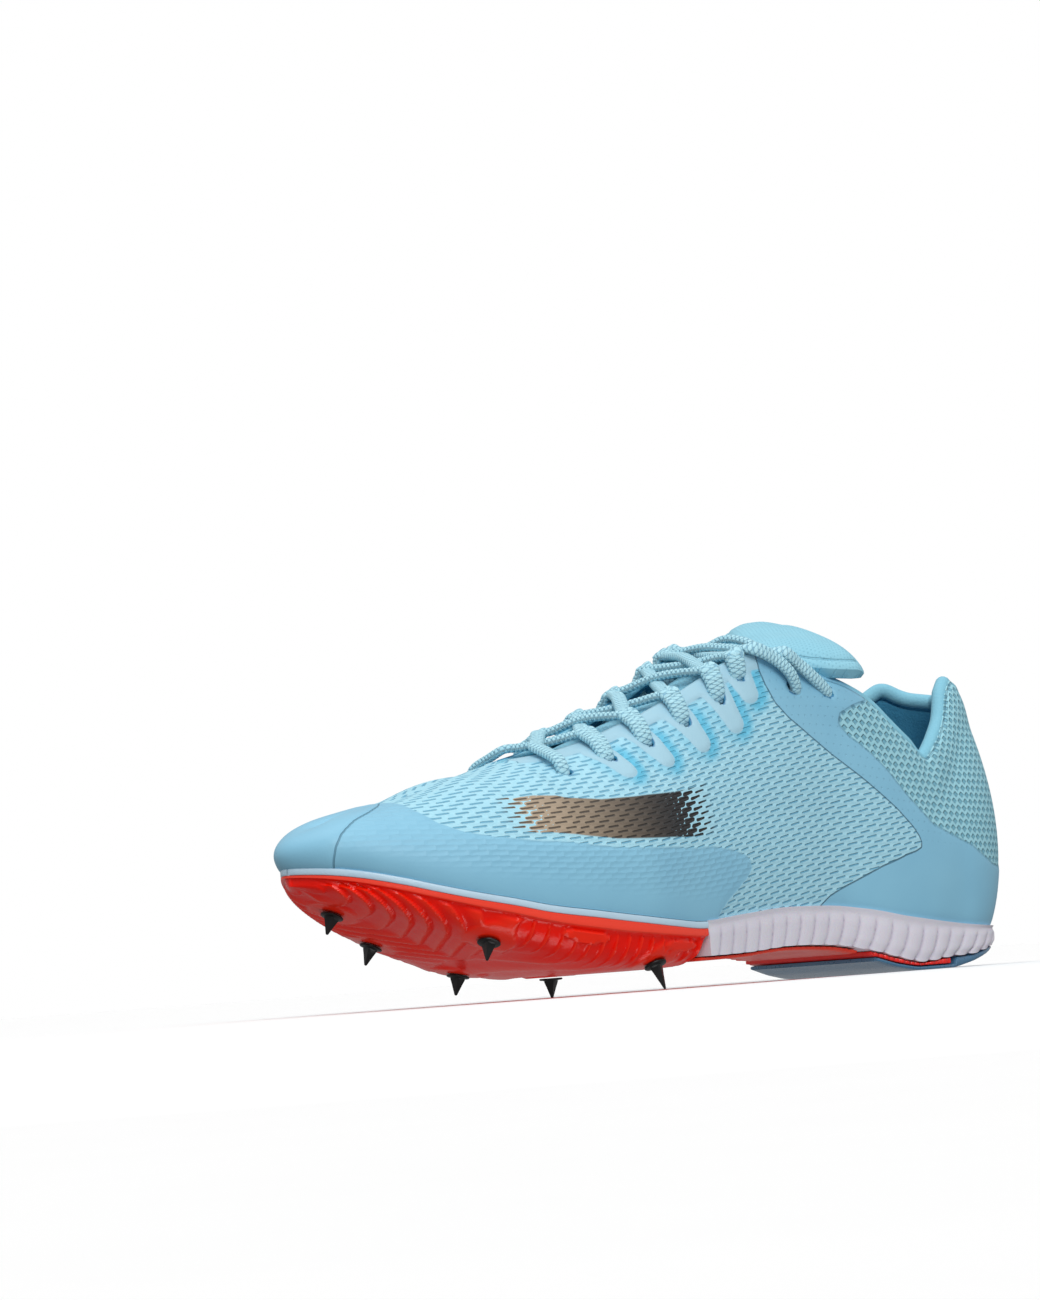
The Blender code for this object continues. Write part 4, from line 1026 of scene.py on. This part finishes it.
def makeTongue():
    rows = tongue["rows"]
    start, end = tongueTable[1][0] * length - tongue["longer"], tongueTable[-1][0] * length
    places = start + (end - start) * (1 - np.cos(np.linspace(0, math.pi, rows))) / 2
    places = places * 0.7 + np.linspace(start, end, rows) * 0.3
    rings, uvs, edges = [], [], []
    for along in places:
        share = along / length
        pad = read(tongueTable, "pad", share)
        thick = (last["tongueFront"] + (last["tongueTop"] - last["tongueFront"]) * pad)
        # the free end is round, seen from the side and from above
        thick *= 0.70 + 0.30 * float(rounding(along - start, tongue["nose"]))
        wide = read(tongueTable, "wide", share) * last["tongueWidth"] / 2
        wide -= tongue["corner"] * (1 - float(rounding(along - start + 0.0002, tongue["corner"])))
        _, droop, lean = tongueShape(along)
        t = np.sin(np.linspace(-math.pi / 2, math.pi / 2, tongue["across"]))
        t = t * 0.6 + np.linspace(-1, 1, tongue["across"]) * 0.4
        y = wide * t
        z = tongueTop(along, t)
        slope = -(droop * (0.8 * t + 2.4 * t ** 3) + lean) / wide
        run = np.sqrt(1 + slope * slope)
        rim = tongue["thinEdge"] + tongue["fullEdge"] * pad
        body = thick * (rim + (1 - rim) * np.sqrt(np.maximum(0, 1 - np.abs(t) ** 8)))
        toEdge = np.minimum((1 - np.abs(t)) * wide, along - start) * 1000
        crown = tongue["crown"] * pad * np.minimum(toEdge / 7, 1)
        crown = crown - tongue["channel"] * pad * np.exp(-((toEdge - tongue["seam"]) / 0.7) ** 2)
        dimple = tongue["dimple"] * pad * np.sin(along * 1000 / tongue["dimplesAlong"])
        dimple = dimple * np.sin(y * 1000 / tongue["dimplesAcross"]) * soft(toEdge, 6, 9)
        sink = (thick - body) * 0.45
        topZ = z + (crown + dimple - sink) / run
        outer = place(along, centreLine(along) + y - slope / run * (crown + dimple - sink), topZ)
        inner = place(along, centreLine(along) + y + slope / run * body, z - body / run)
        rings.append(np.concatenate([outer, inner[::-1]]))
        uvs.append(np.stack([np.full(2 * len(t), along * 1000), np.concatenate([y, y[::-1]]) * 1000], -1))
        edges.append(np.concatenate([toEdge, toEdge[::-1]]))
    piece = tube("tongue_pad", rings, np.concatenate(uvs), values={"edgeGap": np.concatenate(edges)})
    f = Finish("tongue fabric")
    u, v = f.surface()
    here = f.here()
    gap = f.value("edgeGap")
    grain = f.noise(here, 1300.0, 3.0, 0.6)
    cloud = f.noise(here, 60.0, 2.0)
    x, y = brick(u, v, *tongue["pores"])
    pore = (x * x + y * y).step(0.06, 0.01)
    stitch = abs(gap - tongue["seam"]).step(0.55, 0.15) * gap.step(0.5, 1.5)
    colour = f.mix(cloud, rgb(138, 201, 222), rgb(154, 213, 232))
    # the pores are coloured darker as painted shade in them; the stitch line takes a darker seam colour
    colour = f.mix(pore * 0.25 + stitch * 0.3, colour, rgb(88, 156, 184))
    height = grain * 0.12 - pore * 0.10 - stitch * 0.35
    f.set(Base_Color=colour, Roughness=0.62 + grain * 0.12, Normal=f.bump(height))
    finished(piece, f.material, ("tongue",))


makeTongue()


# laces

lace = {
    "width": 4.7, "thick": 2.7, "sides": 18, "clear": 0.0006, "bead": 0.12, "pitch": 1.45,
    "sag": 0.0012, "arch": 0.0024, "strands": 1.5,
}


def smoothPath(points, count):
    # an even curve through a few points
    points = np.asarray(points)
    padded = np.concatenate([[2 * points[0] - points[1]], points, [2 * points[-1] - points[-2]]])
    fine = []
    for a, b, c, d in zip(padded, padded[1:], padded[2:], padded[3:]):
        for t in np.linspace(0, 1, 24, endpoint=False):
            second, third = 2 * a - 5 * b + 4 * c - d, 3 * b - a - 3 * c + d
            fine.append(0.5 * (2 * b + (c - a) * t + second * t * t + third * t ** 3))
    fine.append(points[-1])
    fine = np.array(fine)
    gone = np.concatenate([[0], np.cumsum(np.linalg.norm(np.diff(fine[:, :3], axis=0), axis=1))])
    at = np.linspace(0, gone[-1], count)
    return np.stack([np.interp(at, gone, fine[:, k]) for k in range(fine.shape[1])], -1), gone[-1]


def strandPath(front, back, side, over):
    half = lace["thick"] / 2000
    gap = half + lace["clear"] + upper["stay"]
    arch = lace["arch"] if over else 0.0

    def stay(slotRow, s, offset, reverse):
        foot, turn, long = slotRow[:3]
        foot = foot * length + offset
        down = 0.035 * (long / 8)
        steps = (
            (turn - down, -0.0046, 0.80), (turn - down * 0.6, -0.0020, 0.80),
            (turn + down * 0.1, 0.0006, 0.86), (turn + down + 0.03, gap * 0.95, 0.95),
            ((turn + down + 1.03) / 2, gap, 1.0), (1.0, gap + 0.0004, 1.0),
        )
        made = []
        for t, lift, wideShare in steps:
            forward = slide.get(slotRow[0], 0) * length * float(np.clip((t - turn) / (1 - turn), 0, 1)) ** 1.3
            point, out = wallAt(foot + forward, s, min(t, 1.0))
            made.append(np.concatenate([point + out * lift, out, [wideShare]]))
        return made[::-1] if reverse else made

    start = stay(front, side, 0.0009, False)
    end = stay(back, -side, -0.0009, True)
    a, b = start[-1], end[0]
    middle = []
    for t in (0.16, 0.33, 0.5, 0.67, 0.84):
        point = a[:3] + (b[:3] - a[:3]) * t
        along = last["heelRest"] - point[0]
        wide = read(tongueTable, "wide", along / length) * last["tongueWidth"] / 2
        across = np.clip((-point[1] - centreLine(along)) / wide, -1, 1)
        puff = tongue["crown"] * read(tongueTable, "pad", along / length)
        rest = tongueTop(along, across) + puff + half + lace["clear"]
        hump = math.sin(math.pi * t)
        want = rest + arch * hump ** 2
        line = point[2] + lace["sag"] * hump + arch * hump ** 2
        point[2] = max(want, line - 0.002 * hump)
        middle.append(np.concatenate([point, [0, 0, 1], [1.0]]))
    return np.array(start + middle + end)


def makeLace():
    allPoints, faces, uvs = [], [], []
    total = 0.0
    pairs = []
    for i in range(len(slotTable) - 2):
        pairs.append((slotTable[i], slotTable[i + 1], 1, i % 2 == 0))
        pairs.append((slotTable[i], slotTable[i + 1], -1, i % 2 == 1))
    pairs.append((slotTable[-2], slotTable[-1], -1, True))
    for front, back, side, over in pairs:
        rows = strandPath(front, back, side, over)
        path, gone = smoothPath(rows, 150)
        total += gone
        run = np.gradient(path[:, :3], axis=0)
        run /= np.linalg.norm(run, axis=1)[:, None]
        up = path[:, 3:6] - run * np.sum(path[:, 3:6] * run, axis=1)[:, None]
        up /= np.linalg.norm(up, axis=1)[:, None]
        across = np.cross(run, up)
        angle = np.linspace(0, 2 * math.pi, lace["sides"], endpoint=False)
        at = np.linspace(0, gone * 1000, len(path))
        wide = lace["width"] / 2000 * path[:, 6]
        thick = lace["thick"] / 2000 * (1.9 - 0.9 * path[:, 6])
        flatX = np.sign(np.cos(angle)) * np.abs(np.cos(angle)) ** 0.85
        flatY = np.sign(np.sin(angle)) * np.abs(np.sin(angle)) ** 0.70
        phase = at[:, None] / lace["pitch"] * math.pi
        bead = lace["bead"] / 1000 * (np.abs(np.sin(phase + angle[None] * lace["strands"])) - 0.5)
        bead = bead + lace["bead"] / 1500 * (np.abs(np.sin(phase - angle[None] * lace["strands"])) - 0.5)
        ringX = wide[:, None] * flatX[None] + bead * np.cos(angle)[None] * 1.4
        ringY = thick[:, None] * flatY[None] + bead * np.sin(angle)[None]
        points = path[:, None, :3] + across[:, None] * ringX[..., None] + up[:, None] * ringY[..., None]
        start = sum(len(p) for p in allPoints)
        faces += gridFaces(len(path), lace["sides"], start, closed=True)
        faces.append(tuple(range(start, start + lace["sides"]))[::-1])
        endRow = start + (len(path) - 1) * lace["sides"]
        faces.append(tuple(range(endRow, endRow + lace["sides"])))
        allPoints.append(points.reshape(-1, 3))
        uvs.append(np.stack([np.repeat(at, lace["sides"]), np.tile(angle, len(path))], -1))
    piece = makePiece("lace_braid", np.concatenate(allPoints), faces, np.concatenate(uvs), smoothAngle=80)
    faceOut(piece)
    f = Finish("braided lace")
    u, v = f.surface()
    here = f.here()
    one = (u / lace["pitch"] + v * lace["strands"] / math.pi).fract() - 0.5
    two = (u / lace["pitch"] - v * lace["strands"] / math.pi).fract() - 0.5
    groove = abs(one).step(0.30, 0.5).higher(abs(two).step(0.34, 0.5))
    braidGap = (abs(one) + abs(two)).step(0.55, 0.82)
    hair = f.noise(here, 2400.0, 3.0, 0.7)
    colour = f.mix(hair, rgb(156, 218, 238), rgb(204, 242, 250))
    # the braid's grooves, and the gaps where they cross, are coloured darker: painted shade in the braid's
    # hollows
    colour = f.mix(groove * 0.22, colour, rgb(70, 168, 212))
    colour = f.mix(braidGap * (0.10 + hair * 0.45), colour, rgb(20, 118, 172))
    height = 0.0 - groove * 0.2 - braidGap * 0.10 + hair * 0.10
    f.set(Base_Color=colour, Roughness=0.72 + hair * 0.12, Normal=f.bump(height))
    finished(piece, f.material, ("lace",))
    print("lace shown:", round(total, 3), "m")


makeLace()


# heel foam with its ribs

foam = {"ribs": 25, "perRib": 12, "levels": 18, "depth": 0.0012, "lean": 0.55, "lip": 0.0018}


def makeMidsole():
    end = last["heelEnd"] * length
    count = foam["ribs"] * foam["perRib"] + 1
    places = stations(0, end, count)
    position = np.linspace(0, foam["ribs"], count)
    levels = foam["levels"]
    down = np.linspace(0, 1, levels)
    rings, uvs, ribValue = [], [], []
    for side in (1, -1):
        grid = []
        for i, along in enumerate(places):
            share = along / length
            top, low = edgeHeight(along) + last["cement"], foamUnder(along)
            tall = top - low
            z = top - down * tall
            # ribs lean towards the toe as they go down
            rearward = 1 - soft(share, 0.10, 0.50)
            phase = position[i] - foam["lean"] * (0.6 + 0.9 * rearward) * (down ** 1.8)
            ridge = np.abs(np.sin(np.pi * phase)) ** 0.28
            start = soft((top - z), foam["lip"] * 0.6, foam["lip"] * 2.2)
            depth = foam["depth"] * (0.45 + 0.75 * rearward) * (0.6 + 0.4 * down)
            inset = depth * (1 - ridge) * start + 0.0007 * soft(down, 0.75, 1.0) * rearward
            inset = inset + 0.0005 * soft(down, 0, 0.12) * (1 - soft(down, 0.12, 0.4))
            inset = np.minimum(inset, halfWidth(along))
            # the bottom edge is scalloped by the ribs
            z = z + 0.0012 * (1 - ridge) * soft(down, 0.7, 1.0) * (0.3 + 0.7 * rearward)
            x, y, _, _ = outlinePoint(np.full(levels, along), side, inset)
            grid.append(place(x, y, z))
            uvs.append(np.stack([np.full(levels, along * 1000), z * 1000], -1))
            ribValue.append((1 - ridge) * start)
        rings.append(np.array(grid))
    outer, inner = rings
    points = np.concatenate([outer.reshape(-1, 3), inner.reshape(-1, 3)])
    size = count * levels
    faces = gridFaces(count, levels) + gridFaces(count, levels, size, flip=True)
    for i in range(count - 1):
        a, b = i * levels, (i + 1) * levels
        faces.append((a, b, b + size, a + size))
        low = levels - 1
        faces.append((a + low, a + low + size, b + low + size, b + low))
    final = (count - 1) * levels
    for j in range(levels - 1):
        faces.append((final + j, final + j + 1, final + j + 1 + size, final + j + size))
    piece = makePiece("heel_foam", points, faces, np.concatenate(uvs), {"groove": np.concatenate(ribValue)})
    faceOut(piece)
    f = Finish("heel foam", Subsurface_Weight=0.08)
    here = f.here()
    fine = f.noise(here, 1900.0, 3.0, 0.6)
    cloud = f.noise(here, 70.0, 3.0)
    groove = f.value("groove")
    colour = f.mix(cloud, rgb(218, 212, 225), rgb(229, 224, 234))
    # the rib grooves are coloured darker: painted shade in the grooves
    colour = f.mix(groove.step(0.10, 0.9) * 0.65, colour, rgb(150, 136, 166))
    dust = f.noise(here, 500.0, 4.0, 0.7).step(0.6, 0.75)
    colour = f.mix(dust * 0.10, colour, rgb(150, 140, 150))
    f.set(Base_Color=colour, Roughness=0.5 + fine * 0.15, Normal=f.bump(fine, 0.0003, 0.5))
    finished(piece, f.material, ("midsole",))


makeMidsole()


def slabPiece(name, places, top, under, inset, bevel=0.0004, teeth=None):
    # a sole layer between two heights, with softened edges
    rings = []
    for along in places:
        depth = inset + (teeth(along) if teeth else 0.0)
        high, low = top(along), under(along)
        soften = min(bevel, (high - low) * 0.45)
        ring = []
        for side in (1, -1):
            half = []
            for inward, z in (
                (0.004, high), (soften * 1.6, high), (soften * 0.4, high - soften * 0.3),
                (0.0, high - soften), (0.0, (high + low) / 2), (0.0, low + soften),
                (soften * 0.4, low + soften * 0.3), (soften * 1.6, low), (0.004, low),
            ):
                x, y, _, _ = outlinePoint(along, side, min(depth + inward, halfWidth(along) * 0.98))
                half.append(place(x, y, z))
            ring += half if side > 0 else half[::-1]
        rings.append(ring)
    return tube(name, rings)


def makeBoard():
    places = stations(last["heelEnd"] * length + last["clear"], length - 1e-5, 150)
    piece = slabPiece("forefoot_strip", places, lambda u: edgeHeight(u) + last["cement"] / 2,
                      lambda u: edgeHeight(u) - last["stripShown"], 0.0, bevel=0.0005)
    moulded = evenFinish("moulded strip", ((182, 212, 232), (198, 224, 240)), 80.0, (1200.0, 0.5),
                         (0.36, 0.12), (0.0002, 0.5), Coat_Weight=0.2)
    finished(piece, moulded, ("forefoot_board",))


makeBoard()


# studded plate

plate = {
    "rows": 340, "section": 40, "lip": 0.0010, "rib": 0.0010, "ribPitch": 5.0, "lug": 0.0010,
    "boss": 0.0075, "bossHeight": 0.0008, "archThick": 0.0011, "archInset": 0.0022,
    "lugPitch": 9.5, "swell": 0.0007, "swellPitch": 14.0, "pad": 0.0010,
    "toothPitch": 2.6, "toothDeep": 0.0016,
}
# inward from the edge, depth on the outer side and on the inner side
sectionTable = (
    ("place", "inward", "outer", "inner"),
    (0.00, 0.00, 0.00, 0.00), (0.10, 0.00, 0.16, 0.16), (0.20, 0.03, 0.30, 0.28), (0.36, 0.09, 0.62, 0.52),
    (0.52, 0.22, 0.88, 0.80), (0.68, 0.45, 0.985, 0.96), (0.84, 0.75, 1.00, 1.00), (1.00, 1.00, 1.00, 1.00),
)
# flat pads on the outer side: place, half length in mm, and from where to where down the side
padTable = ((0.741, 9.0, 0.20, 0.30), (0.597, 8.5, 0.22, 0.33))
# spikes: share of the length, and share of the ball's width to the outer side
spikeTable = (
    (0.938, -0.120), (0.850, -0.250), (0.744, -0.190), (0.656, -0.022), (0.832, 0.290), (0.625, 0.400),
)
restingSpikes = (3, 5)


def sectionUnder(along, across):
    top, keel = stripUnder(along) - last["clear"], keelHeight(along)
    share = np.clip(np.abs(across), 0, 1)
    rows = np.array(sectionTable[2:], float)
    outer, inner = (np.interp(1 - share, rows[:, 1], rows[:, column]) for column in (2, 3))
    return top - (top - keel) * np.where(across > 0, outer, inner)


def spikeSeat(share, across):
    along, y = share * length, across * last["ballWidth"]

    def under(u, v):
        return float(sectionUnder(u, (v - centreLine(u)) / (halfWidth(u) - plate["lip"])))

    reach = 0.003
    slopeX = (under(along + reach, y) - under(along - reach, y)) / (2 * reach)
    slopeY = (under(along, y + reach) - under(along, y - reach)) / (2 * reach)
    out = np.array((-slopeX, -slopeY, -1.0))
    return place(along, y, under(along, y)), out / np.linalg.norm(out)


def makePlate():
    seats = [spikeSeat(*row) for row in spikeTable]
    places = stations(last["heelEnd"] * length + 2 * last["clear"], length - 1e-5, plate["rows"])
    edge = np.stack([places, halfWidth(places)], -1)
    arc = np.concatenate([[0], np.cumsum(np.linalg.norm(np.diff(edge, axis=0), axis=1))]) * 1000
    q = np.linspace(0, 1, plate["section"])
    halves = []
    reliefs = []
    for side, name in ((1, "outer"), (-1, "inner")):
        inward, depth = read(sectionTable, "inward", q), read(sectionTable, name, q)
        tipDepth = read(sectionTable, "outer", q)
        grid = []
        for i, along in enumerate(places):
            share = along / length
            top, keel = edgeHeight(along) - last["stripShown"], keelHeight(along)
            lip = np.where(q > 0.14, plate["lip"], 0.0) * soft(q, 0.12, 0.17)
            x, y, _, _ = outlinePoint(np.full(len(q), along), side, np.minimum(lip, halfWidth(along)))
            y = centreLine(along) + (y - centreLine(along)) * (1 - inward)
            use = tipDepth if halfWidth(along) < 0.002 else depth
            grid.append(place(x, y, top - (top - keel) * use))
        grid = np.array(grid)
        normal = np.cross(np.gradient(grid, axis=0), np.gradient(grid, axis=1)) * -side
        normal /= np.maximum(np.linalg.norm(normal, axis=2), 1e-12)[..., None]
        normal = np.where(normal[..., 2:] > 0.3, -normal, normal)
        a = np.repeat(arc[:, None], len(q), axis=1)
        share = np.repeat((places / length)[:, None], len(q), axis=1)
        qq = np.repeat(q[None], len(places), axis=0)
        # narrow upright ribs under the lip
        beat = np.abs(((a + 2.0 * qq) / plate["ribPitch"]) % 1 - 0.5) * plate["ribPitch"]
        ribs = plate["rib"] * (1 - soft(beat, 0.15, 0.62)) * soft(qq, 0.17, 0.22) * (1 - soft(qq, 0.36, 0.62))
        ribs *= 1 - soft(share, 0.80, 0.84)
        # layered lugs towards the toe: curved steps, steep on one side
        wave = (a / plate["lugPitch"] + 1.5 * np.sin(qq * 3.4 + a / 23) + qq * 1.2) % 1
        lugs = plate["lug"] * (soft(wave, 0.0, 0.12) * (1 - soft(wave, 0.12, 1.0) ** 0.8))
        lugs *= soft(share, 0.775, 0.83) * soft(qq, 0.17, 0.24) * (1 - soft(share, 0.97, 0.995))
        # long low swells across the ball
        swell = (a / plate["swellPitch"] + 0.8 * np.sin(qq * 5)) % 1
        under = plate["swell"] * soft(swell, 0.0, 0.1) * (1 - soft(swell, 0.1, 1.0)) * soft(qq, 0.50, 0.64)
        under *= 1 - soft(share, 0.76, 0.82)
        relief = ribs + lugs + under
        for at, _ in seats:
            gap = np.linalg.norm(grid - at, axis=2)
            ring = soft(gap, plate["boss"] * 1.25, plate["boss"])
            relief = relief * soft(gap, plate["boss"] * 0.95, plate["boss"] * 1.3)
            relief = relief + plate["bossHeight"] * ring
        relief = relief * soft(halfWidth(np.repeat(places[:, None], len(q), axis=1)), 0.001, 0.006)
        if side > 0:
            for middle, width, lowQ, highQ in padTable:
                centreArc = np.interp(middle * length, places, arc)
                down = (qq - (lowQ + highQ) / 2) / ((highQ - lowQ) / 1.5)
                oval = ((a - centreArc) / width) ** 2 + down ** 2
                raised = np.maximum(relief, 0) * soft(oval, 0.9, 1.3) + plate["pad"] * soft(oval, 1.15, 0.8)
                relief = np.where(oval < 1.4, raised, relief)
        halves.append(grid + normal * relief[..., None])
        reliefs.append(relief)
    outer, inner = halves
    # close over the keel: both halves share their last column
    middle = (outer[:, -1] + inner[:, -1]) / 2
    outer[:, -1] = inner[:, -1] = middle
    rows, columns = len(places), len(q)
    points = np.concatenate([outer.reshape(-1, 3), inner.reshape(-1, 3)])
    size = rows * columns
    faces = gridFaces(rows, columns) + gridFaces(rows, columns, size, flip=True)
    for i in range(rows - 1):
        a, b = i * columns, (i + 1) * columns
        faces.append((a, a + size, b + size, b))
    for j in range(columns - 1):
        faces.append((j, j + 1, j + 1 + size, j + size))
        end = (rows - 1) * columns + j
        faces.append((end, end + size, end + 1 + size, end + 1))
    piece = makePiece("stud_plate", points, faces, values={
        "lift": np.concatenate([r.reshape(-1) for r in reliefs]), "band": np.tile(q, 2 * rows)})
    faceOut(piece)
    arch = makeArch()
    f = Finish("glossy plate", Coat_Weight=0.08, Coat_Roughness=0.06, Specular_IOR_Level=0.2)
    here = f.here()
    fine = f.noise(here, 700.0, 3.0)
    cloud = f.noise(here, 60.0, 2.0)
    lift = f.value("lift")
    colour = f.mix(cloud, rgb(246, 16, 2), rgb(255, 28, 6))
    # raised ribs, lugs and spike bosses are coloured lighter: painted highlight on the relief
    colour = f.mix(lift.step(0.0002, 0.0009) * 0.30, colour, rgb(255, 70, 40))
    # a lighter band along the lip: painted sheen
    colour = f.mix(f.value("band").step(0.165, 0.125) * 0.45, colour, rgb(255, 104, 80))
    dirt = f.noise(here, 380.0, 4.0, 0.7).step(0.62, 0.75)
    colour = f.mix(dirt * 0.08, colour, rgb(120, 30, 20))
    f.set(Base_Color=colour, Roughness=0.18 + fine * 0.12, Normal=f.bump(fine, 0.0002, 0.5))
    finished(piece, f.material, ("spike_plate",))
    finished(arch, f.material, ())


def makeArch():
    start, end = last["archStart"] * length, last["heelEnd"] * length + last["clear"]
    places = np.linspace(start, end, 231)
    top = foamUnder(places) - last["clear"]
    rings = []
    for i, along in enumerate(places):
        tooth = abs(((along * 1000) / plate["toothPitch"]) % 1 - 0.5) * 2
        drop = top[i] - plate["archThick"] * (0.60 + 0.40 * tooth)
        half = []
        for side in (1, -1):
            edgeIn = plate["archInset"] + plate["toothDeep"] * (1 - tooth)
            y = outlinePoint(along, side, edgeIn)[1]
            mid = centreLine(along)
            line = [place(along, mid + (y - mid) * share, z) for share, z in (
                (0.5, top[i]), (0.97, top[i]), (1.0, top[i] - 0.0002), (1.0, drop + 0.0003),
                (0.985, drop + 0.0001), (0.94, drop), (0.86, top[i] - plate["archThick"]),
                (0.4, top[i] - plate["archThick"]),
            )]
            half.append(line)
        rings.append(half[0] + half[1][::-1])
    return tube("arch_plate", rings)


makePlate()


# spikes: one shape, set on the plate by nodes

spike = {
    "base": 0.0036, "sides": 36,
    # width, height and how flat: flange, neck, then four flats drawn down to the tip
    "shape": (
        (0.80, 0.0, 0.0), (0.96, 0.006, 0.0), (1.0, 0.025, 0.0), (1.0, 0.075, 0.0), (0.95, 0.10, 0.0),
        (0.70, 0.112, 0.0), (0.60, 0.14, 0.5), (0.56, 0.20, 1.0), (0.40, 0.45, 1.0), (0.26, 0.70, 1.0),
        (0.15, 0.90, 0.9), (0.11, 0.975, 0.6), (0.05, 1.0, 0.2),
    ),
}


def spikeShape():
    rings = []
    sides = spike["sides"]
    angle = np.linspace(0, 2 * math.pi, sides, endpoint=False)
    for radius, height, flat in spike["shape"]:
        wedge = np.cos(math.pi / 4) / np.cos((angle % (math.pi / 2)) - math.pi / 4)
        reach = radius * spike["base"] * (1 + flat * (wedge * 1.12 - 1))
        rings.append(np.stack([reach * np.cos(angle), reach * np.sin(angle), np.full(sides, height)], -1))
    return tube("spike_shape", rings)


def makeSpikes():
    shape = spikeShape()
    points, aims, talls = [], [], []
    for i, row in enumerate(spikeTable):
        at, out = spikeSeat(*row)
        dip = 0.16 * spike["base"] * math.sqrt(1 - out[2] ** 2)
        reach = (at[2] - dip) / -out[2] if i in restingSpikes else last["spikeLength"]
        start = last["clear"] + plate["bossHeight"]
        points.append(at + out * start)
        aims.append(out)
        talls.append(reach - start)
    mesh = bpy.data.meshes.new("spikes")
    mesh.from_pydata([tuple(p) for p in points], [], [])
    layer = mesh.attributes.new("aim", "FLOAT_VECTOR", "POINT")
    layer.data.foreach_set("vector", np.array(aims, np.float32).ravel())
    layer = mesh.attributes.new("tall", "FLOAT", "POINT")
    layer.data.foreach_set("value", np.array(talls, np.float32))
    piece = bpy.data.objects.new("spikes", mesh)
    scene.collection.objects.link(piece)
    g = Grower("spikes on the plate", (("Shape", "NodeSocketObject", None), ("Turn", "NodeSocketFloat", 0.4)))
    info = g.node("GeometryNodeObjectInfo", None, {"Object": g.start.outputs[1]}, out=4)
    aim = g.node("GeometryNodeInputNamedAttribute", {"data_type": "FLOAT_VECTOR"}, {"Name": "aim"})
    tall = g.node("GeometryNodeInputNamedAttribute", {"data_type": "FLOAT"}, {"Name": "tall"})
    spin = g.node("ShaderNodeCombineXYZ", None, {2: g.start.outputs[2]})
    turned = g.node("FunctionNodeEulerToRotation", None, {0: spin})
    aimed = g.node("FunctionNodeAlignRotationToVector", {"axis": "Z"}, {"Vector": aim})
    both = g.node("FunctionNodeRotateRotation", {"rotation_space": "LOCAL"}, {0: aimed, 1: turned})
    size = g.node("ShaderNodeCombineXYZ", None, {0: 1.0, 1: 1.0, 2: tall})
    sown = g.node("GeometryNodeInstanceOnPoints", None, {
        "Points": g.start.outputs[0], "Instance": info, "Rotation": both, "Scale": size})
    steel = evenFinish("black steel", ((10, 10, 11), (22, 22, 24)), None, (1500.0, 0.5), (0.3, 0.18),
                       (0.0001, 0.5), Metallic=0.3)
    g.grow(piece, sown, steel, {"Shape": shape, "Turn": 0.4})
    bpy.data.objects.remove(shape)
    piece.data.set_sharp_from_angle(angle=math.radians(40))
    finished(piece, steel, tuple(f"spike_{k}" for k in range(1, 7)))


makeSpikes()


# heel skin and its insert

heelSole = {
    "skinFrom": 0.045, "skinTo": 0.262, "skinThick": 0.0012, "inset": 0.0012,
    "insertFrom": 0.137, "insertTo": 0.270, "slope": 0.006, "insertRise": 0.0015,
    "toothDeep": 0.0009, "toothPitch": 2.3,
}


def makeHeelPieces():
    insertFrom, insertTo, slope = heelSole["insertFrom"], heelSole["insertTo"], heelSole["slope"]

    def openShare(along):
        # 1 where the insert lies on the skin
        share = along / length
        low = min(max((share - insertFrom) / slope + 2, 0), 1)
        return low * min(max((insertTo - share) / slope + 2, 0), 1)

    def skinTop(along):
        full = foamUnder(along) - last["clear"]
        return full + (min(skinUnder(along) + heelSole["skinThick"], full) - full) * openShare(along)

    places = stations(heelSole["skinFrom"] * length, heelSole["skinTo"] * length, 120)
    skin = slabPiece("heel_skin", places, skinTop, skinUnder, heelSole["inset"], bevel=0.0009)
    rubber = evenFinish("clear blue skin", ((66, 120, 160), (92, 150, 190)), 90.0, (900.0, 0.5), (0.22, 0.14),
                        (0.0002, 0.5), Coat_Weight=0.5, Coat_Roughness=0.1,
                        Transmission_Weight=0.35, IOR=1.45)
    finished(skin, rubber, ("heel_outsole",))

    places = np.linspace(insertFrom * length, insertTo * length, 180)

    def teeth(along):
        beat = abs(math.sin(math.pi * along * 1000 / heelSole["toothPitch"]))
        return heelSole["toothDeep"] * (1 - beat ** 0.6)

    insert = slabPiece("heel_red_insert", places, lambda u: foamUnder(u) - last["clear"],
                       lambda u: skinUnder(u) + heelSole["insertRise"], heelSole["inset"], bevel=0.0003,
                       teeth=teeth)
    red = evenFinish("red insert", ((225, 14, 6), (244, 30, 14)), None, (900.0, 0.5), (0.3, 0.12),
                     (0.0002, 0.5), Coat_Weight=0.3)
    finished(insert, red, ("heel_insert",))


makeHeelPieces()


# sock liner

insole = {"inset": 0.0058, "above": 0.0006, "thick": 0.0035, "thinner": 0.0024, "thinning": (0.78, 0.93)}


def makeInsole():
    inset = insole["inset"]
    places = stations(inset, length - 2 * inset, 110)
    rise = last["cement"] + last["clear"] + last["wall"] + insole["above"]

    def under(along):
        return edgeHeight(along) + rise

    def top(along):
        thinner = insole["thinner"] * float(soft(along / length, *insole["thinning"]))
        return under(along) + insole["thick"] - thinner

    piece = slabPiece("sock_liner", places, top, under, inset, bevel=0.0008)
    cloth = evenFinish("sock liner", ((38, 100, 140), (52, 122, 160)), 50.0, (1300.0, 0.6), (0.85, 0.08),
                       (0.0006, 0.6))
    finished(piece, cloth, ("insole",))


makeInsole()
